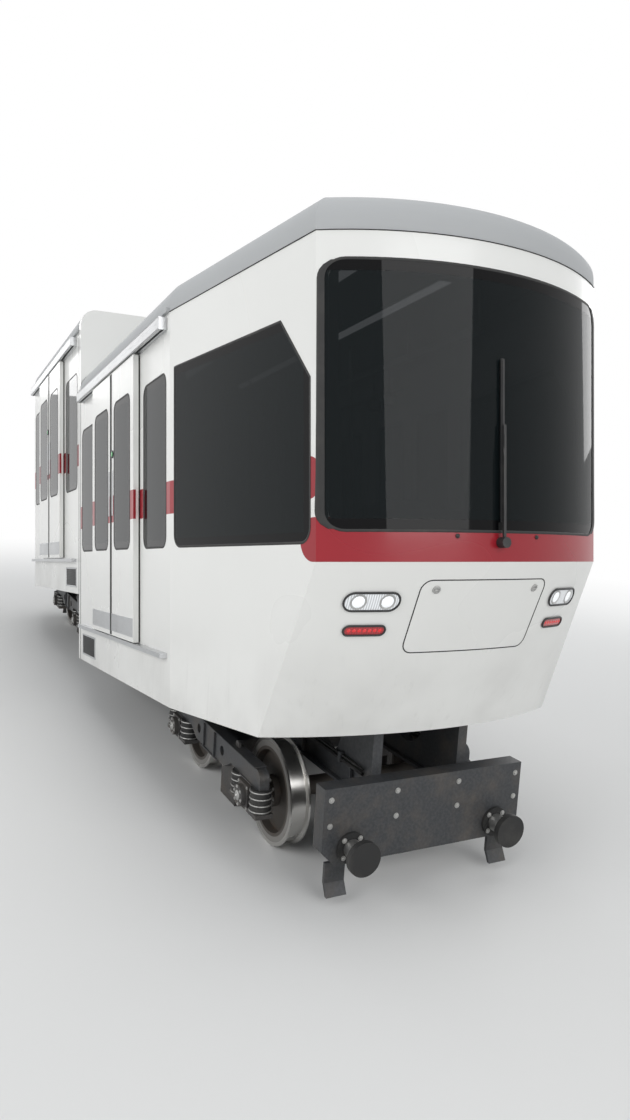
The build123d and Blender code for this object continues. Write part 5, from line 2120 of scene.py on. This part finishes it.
@dataclass(frozen=True)
class Cabin:
    """What shows through the glass: ceiling lights, rails with straps, stair edges, desks."""

    desk: DeskTop = DeskTop()
    key: Profile = ((0.010, 0.008), (0.010, 0.016), (0.008, 0.018))
    key_start: Pair = (0.10, -0.38)
    key_pitch: Pair = (0.045, 0.042)
    lever: Profile = (
        (0.022, 0.008), (0.022, 0.014), (0.010, 0.018), (0.006, 0.030), (0.006, 0.095),
        (0.016, 0.100), (0.020, 0.115), (0.014, 0.130), (0.004, 0.134),
    )
    knob: Profile = ((0.018, 0.008), (0.018, 0.020), (0.026, 0.022), (0.028, 0.034), (0.018, 0.040))
    pole_y: float = 0.560
    rail_height: float = 1.930
    rail_span: Pair = (0.30, 3.70)
    rail_radius: float = 0.0155
    hanger_places: tuple[float, ...] = (0.32, 1.42, 2.90, 3.68)
    pole_places: tuple[float, ...] = (0.750, 2.100)
    pole_foot: Profile = ((0.040, 0.0), (0.040, 0.004), (0.030, 0.010), (0.019, 0.013))
    clamp: Profile = ((0.021, -0.025), (0.024, -0.018), (0.024, 0.018), (0.021, 0.025))
    loop_places: tuple[float, ...] = (1.05, 1.25, 1.65, 1.85, 2.45, 2.65)
    loop_collar: Profile = ((0.0195, -0.014), (0.0195, 0.014))
    light_middle: float = 2.05
    light_across: float = 0.30
    light_length: float = 3.3
    tread: float = 0.250
    riser: float = 0.1465
    first_step: float = -0.375
    steps: int = 4
    edge_width: float = 2.06
    bottle_place: Place = (3.30, -0.86, 0.05)
    bottle: Profile = (
        (0.040, 0.0), (0.055, 0.012), (0.057, 0.030), (0.057, 0.300), (0.050, 0.335), (0.026, 0.356),
        (0.018, 0.362),
    )
    valve: Profile = ((0.018, 0.362), (0.022, 0.368), (0.022, 0.392), (0.010, 0.398))
    band: Profile = ((0.0585, 0.17), (0.0605, 0.172), (0.0605, 0.192), (0.0585, 0.194))
    hose: tuple[Place, ...] = (
        (0.02, 0.0, 0.380), (0.075, 0.0, 0.35), (0.078, 0.0, 0.23), (0.066, 0.0, 0.13)
    )

    def build_desks(self) -> None:
        """Panel, dark screen, rows of keys, a lever and a knob on each desk."""
        panel = Sheet().block((0.155, 0.0, 0.004), (0.27, 0.90, 0.010), 0.003)
        panel.block((0.085, 0.20, 0.040), (0.05, 0.30, 0.070), 0.008)
        screen = Sheet().block((0.112, 0.20, 0.042), (0.003, 0.26, 0.055), 0.001)
        keys = Sheet()
        for row, n in product(range(3), range(7)):
            back, across = np.array(self.key_start) + np.array(self.key_pitch) * (row, n)
            keys.lathe(self.key, (back, across, 0.0), UPWARD, 12)
        levers = Sheet().lathe(self.lever, (0.19, 0.0, 0.0), UPWARD, 18)
        levers.lathe(self.knob, (0.20, 0.40, 0.0), UPWARD, 20)
        for name, stock, part in (
            ("desk_panels", Stock(DESK_PLASTIC, "desk_plastic"), panel),
            ("desk_keys", Stock(AMBER_KEYS, "desk_plastic"), keys),
            ("desk_screens", Stock(SCREEN_BLANK, "tinted_glass"), screen), ("desk_levers", PLASTIC, levers),
        ):
            part.mapped(self.desk.laid).copies(ENDS).build(name, stock)

    def rails(self) -> Sheet:
        """Ceiling rail with its hangers, and the flanges and clamps of the poles.

        Returns:
            Its skins.
        """
        drop = CAR.ceiling - self.rail_height
        hanger = ((0.008, 0.0), (0.008, drop - 0.006), (0.022, drop - 0.005), (0.022, drop))
        ends = np.array([(along, self.pole_y, self.rail_height) for along in self.rail_span])
        part = Sheet().tube(np.linspace(*ends, 9), self.rail_radius, 14)
        for along in self.hanger_places:
            part.lathe(hanger, (along, self.pole_y, self.rail_height), UPWARD, 14)
        for along in self.pole_places:
            part.lathe(self.pole_foot, (along, self.pole_y, 0.0), UPWARD, 22)
            part.lathe(self.pole_foot, (along, self.pole_y, CAR.ceiling), (0, 0, -1), 22)
            part.lathe(self.clamp, (along, self.pole_y, self.rail_height), UPWARD, 18)
        return part

    def loops(self) -> Sheet:
        """Hanging loops: a ring with a flat foot, a strap and a collar on the rail.

        Returns:
            Its skins.
        """
        part = Sheet()
        y, z = self.pole_y, self.rail_height
        ring = arc((y, z - 0.235), 0.052, -60, 240, 17)
        ring = np.concatenate([ring, [(y - 0.035, z - 0.272), (y + 0.035, z - 0.272)]])
        for along in self.loop_places:
            part.sweep(np.insert(ring, 0, along, axis=1), oval(0.0065, 0.0065), closed=True)
            part.block((along, y, z - 0.085), (0.024, 0.003, 0.205), 0.001)
            part.lathe(self.loop_collar, (along, y, z), FORWARD, 14)
        return part

    def build_lights(self) -> None:
        """Two light strips with their frames under each ceiling."""
        middle, half, z = self.light_middle, self.light_length / 2, CAR.ceiling - 0.008
        strips, frames = Sheet(), Sheet()
        for across in (-self.light_across, self.light_across):
            strips.block((middle, across, CAR.ceiling - 0.010), (2 * half, 0.085, 0.012), 0.004)
            for side in WAYS:
                frames.block((middle, across + side * 0.052, z), (2 * half + 0.04, 0.016, 0.016), 0.004)
            for way in WAYS:
                frames.block((middle + way * (half + 0.01), across, z), (0.020, 0.12, 0.016), 0.004)
        strips.copies(ENDS).build("ceiling_lights", Stock(LIGHT_STRIP, "lamp_glass"))
        frames.copies(ENDS).build("ceiling_light_frames", ALUMINIUM)

    def stair_edges(self) -> Sheet:
        """Ribbed nosing on each step, in the coordinates of the uphill compartment.

        Returns:
            Its skins.
        """
        part = Sheet()
        for n in range(self.steps):
            x, z = self.first_step + self.tread * n, self.riser * (n + 1) - CAR.step
            part.block((x + 0.018, 0.0, z + 0.0015), (0.045, self.edge_width, 0.005), 0.0015)
            part.block((x - 0.0015, 0.0, z - 0.014), (0.004, self.edge_width, 0.030), 0.001)
            for rib in range(4):
                place = (x + 0.004 + rib * 0.010, 0.0, z + 0.0045)
                part.block(place, (0.004, self.edge_width, 0.002), 0.0006)
        return part

    def threshold(self) -> Sheet:
        """Ribbed plate over a door sill.

        Returns:
            Its skins.
        """
        part = Sheet().block((CAR.doorway_centre, 1.068, 0.002), (1.296, 0.058, 0.005), 0.0015)
        for n in range(5):
            part.block((CAR.doorway_centre, 1.046 + n * 0.011, 0.005), (1.28, 0.004, 0.002), 0.0006)
        return part

    def build_extinguishers(self) -> None:
        """Small extinguisher by each right wall: bottle, and valve with lever, band and hose."""
        place = np.array(self.bottle_place)
        bottle = Sheet().lathe(self.bottle, place, UPWARD, 24)
        bottle.copies(ENDS).build("extinguishers", Stock(RED_BOTTLE, "seat_shell"))
        part = Sheet().lathe(self.valve, place, UPWARD, 16)
        part.block(place + (-0.035, 0.0, 0.405), (0.10, 0.018, 0.008), 0.002)
        part.lathe(self.band, place, UPWARD, 24)
        part.tube(smooth_path(place + np.array(self.hose), 6), 0.008, 10)
        part.copies(ENDS).build("extinguisher_valves", PLASTIC)

    def build(self) -> None:
        """Fit out both compartments."""
        self.build_desks()
        self.rails().copies().build("ceiling_rails", STEEL)
        self.loops().copies().build("hanging_loops", PLASTIC)
        self.build_lights()
        edges, threshold = Sheet().put(self.stair_edges(), End.UPHILL), self.threshold()
        for end, hand in QUARTERS:
            edges.put(threshold, end, hand)
        edges.build("floor_edges", ALUMINIUM)
        self.build_extinguishers()


@dataclass(frozen=True)
class RoofGear:
    """Fan guards, blades, bolts, lifting eyes and seams on the roofs."""

    unit_height: float = 0.130
    unit_place: float = 1.500
    fan_offset: float = 0.320
    fan_radius: float = 0.170
    fan_hub: float = 0.055
    blades: int = 7
    blade_turn: float = 0.55
    wire: float = 0.0022
    hub: Profile = ((0.030, -0.004), (0.030, 0.001), (0.024, 0.003), (0.006, 0.0035))
    eye_places: Pair = (0.45, 3.30)
    eye_across: float = 0.62
    eye_foot: Profile = ((0.030, 0.0), (0.030, 0.006), (0.018, 0.012))
    seam_places: tuple[float, ...] = (0.62, 2.35, 3.05)
    seam_half: float = 0.93
    seam: Profile = ((-0.002, -0.012), (-0.002, 0.012), (0.0018, 0.010), (0.0018, -0.010))

    def fan_blades(self, centre: Array) -> Sheet:
        """Twisted blades in the well.

        A blade's point at radius r and share s of its chord stands at the angle
        n/7 of a turn + s, and its height falls with s, so the blade is a helical strip.

        Args:
            centre: Middle of the fan on the unit's top.

        Returns:
            Its skins.
        """
        part = Sheet()
        radii = np.linspace(self.fan_hub - 0.002, self.fan_radius - 0.012, 6)[:, None]
        share = np.linspace(0, 1, 5)
        for n in range(self.blades):
            angle = 2 * np.pi * n / self.blades + share * self.blade_turn
            grid = np.broadcast_arrays(radii * np.cos(angle), radii * np.sin(angle), -0.012 - 0.018 * share)
            upper = np.stack(grid, axis=-1) + centre
            part.loft(np.concatenate([upper, (upper - (0, 0, 0.003))[:, ::-1]], axis=1))
        return part

    def fan_guard(self, centre: Array) -> Sheet:
        """Guard of rings and spokes over a fan, with a cap in the middle.

        Args:
            centre: Middle of the fan on the unit's top.

        Returns:
            Its skins.
        """
        part = Sheet()
        for radius in np.linspace(self.fan_hub + 0.01, self.fan_radius - 0.004, 5):
            ring = np.insert(oval(radius, radius, 32), 2, -0.003, axis=1) + centre
            part.sweep(ring, oval(self.wire, self.wire, 6), closed=True)
        reach = np.linspace(self.fan_hub - 0.012, self.fan_radius + 0.004, 3)[:, None]
        for angle in np.radians(np.arange(0, 360, 30)):
            spoke = np.insert(reach * (math.cos(angle), math.sin(angle)), 2, -0.0055, axis=1)
            part.tube(spoke + centre, self.wire, 6)
        return part.lathe(self.hub, centre, UPWARD, 24)

    def unit_bolts(self) -> Sheet:
        """Rails along both sides of a roof unit, each with a row of bolts.

        Returns:
            Its skins.
        """
        part, top = Sheet(), CAR.roof_top
        for side in WAYS:
            part.block((self.unit_place, side * 0.511, top + 0.006), (1.30, 0.022, 0.012), 0.003)
            places = self.unit_place + np.linspace(-0.58, 0.58, 7)
            part.bolts([(x, side * 0.512, top + 0.012) for x in places], UPWARD, 0.006, 0.005)
        return part

    def lifting_eyes(self) -> Sheet:
        """Four eyes on round feet.

        Returns:
            Its skins.
        """
        part, top = Sheet(), CAR.roof_top
        for along, side in product(self.eye_places, WAYS):
            across = side * self.eye_across
            part.lathe(self.eye_foot, (along, across, top), UPWARD, 20)
            part.tube(upright(arc((along, top + 0.036), 0.026, -50, 230, 15), across), 0.0065, 8)
        return part

    def seams(self) -> Sheet:
        """Flat strips over the joints of the roof's sheets.

        Returns:
            Its skins.
        """
        part, across = Sheet(), np.linspace(-self.seam_half, self.seam_half, 25)
        for along in self.seam_places:
            path = np.stack(np.broadcast_arrays(along, across, CAR.roof_top + 0.0005), axis=-1)
            part.sweep(path, np.array(self.seam))
        return part

    def build(self) -> None:
        """Make the roofs' pieces."""
        blades, guards = Sheet(), Sheet()
        for end, way in product(End, WAYS):
            place = (self.unit_place + way * self.fan_offset, 0.0, CAR.roof_top + self.unit_height)
            blades.put(self.fan_blades(np.array(place)), end)
            guards.put(self.fan_guard(np.array(place)), end)
        blades.build("fan_blades", PLASTIC)
        guards.build("fan_guards", FASTENERS)
        self.unit_bolts().copies(ENDS).build("roof_unit_bolts", GREY_PLATE)
        self.lifting_eyes().copies(ENDS).build("lifting_eyes", FASTENERS)
        self.seams().copies(ENDS).build("roof_seams", Stock(ROOF_GREY, "roof_paint"))


NODE_FINISHES = {
    "side_wall": WHITE_SIDE, "end_cap": WHITE_CAP, "portal": WHITE_PLAIN, "roof": ROOF_GREY,
    "roof_units": UNIT_GREY, "equipment_cases": UNIT_GREY, "door": WHITE_LEAF, "door_glass": LEAF_GLASS,
    "door_runners": ANODISED, "side_glass": SIDE_GLASS, "windscreen": SCREEN_GLASS, "floor": FLOOR_RUBBER,
    "headlamps": CLEAR_LENS, "tail_lamps": RED_LENS, "wipers": BLACK_PLASTIC, "seats": SEAT_SHELL,
    "grab_poles": BARE_STEEL, "handrails": BARE_STEEL, "control_desks": DESK_PLASTIC,
    "outriggers": CHASSIS_PAINT, "girders": CHASSIS_PAINT, "pivot_beams": CHASSIS_PAINT,
    "headstocks": CHASSIS_PAINT, "bogie_frame": CHASSIS_PAINT, "rail_guards": CHASSIS_PAINT,
    "rope_anchor": CASTING, "axle_boxes": CASTING, "rail_brakes": CASTING, "buffers": BLACK_RUBBER,
    "springs": BLACK_RUBBER,
}


class Dresser:
    """Gives every node of the frame the finish of what it is made of."""

    def finish_of(self, name: str) -> Finish:
        """Finish of a node: that of the longest name in the table that its own starts with.

        Args:
            name: Name of the node.

        Returns:
            The finish; a wheelset's own one is centred on its axle.
        """
        if name.startswith("wheelset"):
            low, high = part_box(name)
            return RolledSteel(f"steel_{name}", (low[0] + high[0]) / 2, (low[2] + high[2]) / 2)
        return NODE_FINISHES[max(filter(name.startswith, NODE_FINISHES), key=len)]

    def dress(self) -> None:
        """Put the finish in the only slot of each node's mesh."""
        for name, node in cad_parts.items():
            finish = self.finish_of(name)
            material = material_of(finish)
            if not node.data.materials:
                node.data.materials.append(material)
            for slot in node.material_slots:
                slot.link = "OBJECT"
                slot.material = material
            log.info("%s in %s", name, finish.name)


def main() -> None:
    """Build the studio, dress the frame and add each sub-assembly."""
    logging.basicConfig(level=logging.INFO, format="%(name)s %(message)s")
    Studio().build()
    Dresser().dress()
    for assembly in (Glazing, Doors, EndFittings, BodyTrims, RunningGear, ChassisFittings, Cabin, RoofGear):
        assembly().build()


if __name__ == "__main__":
    main()
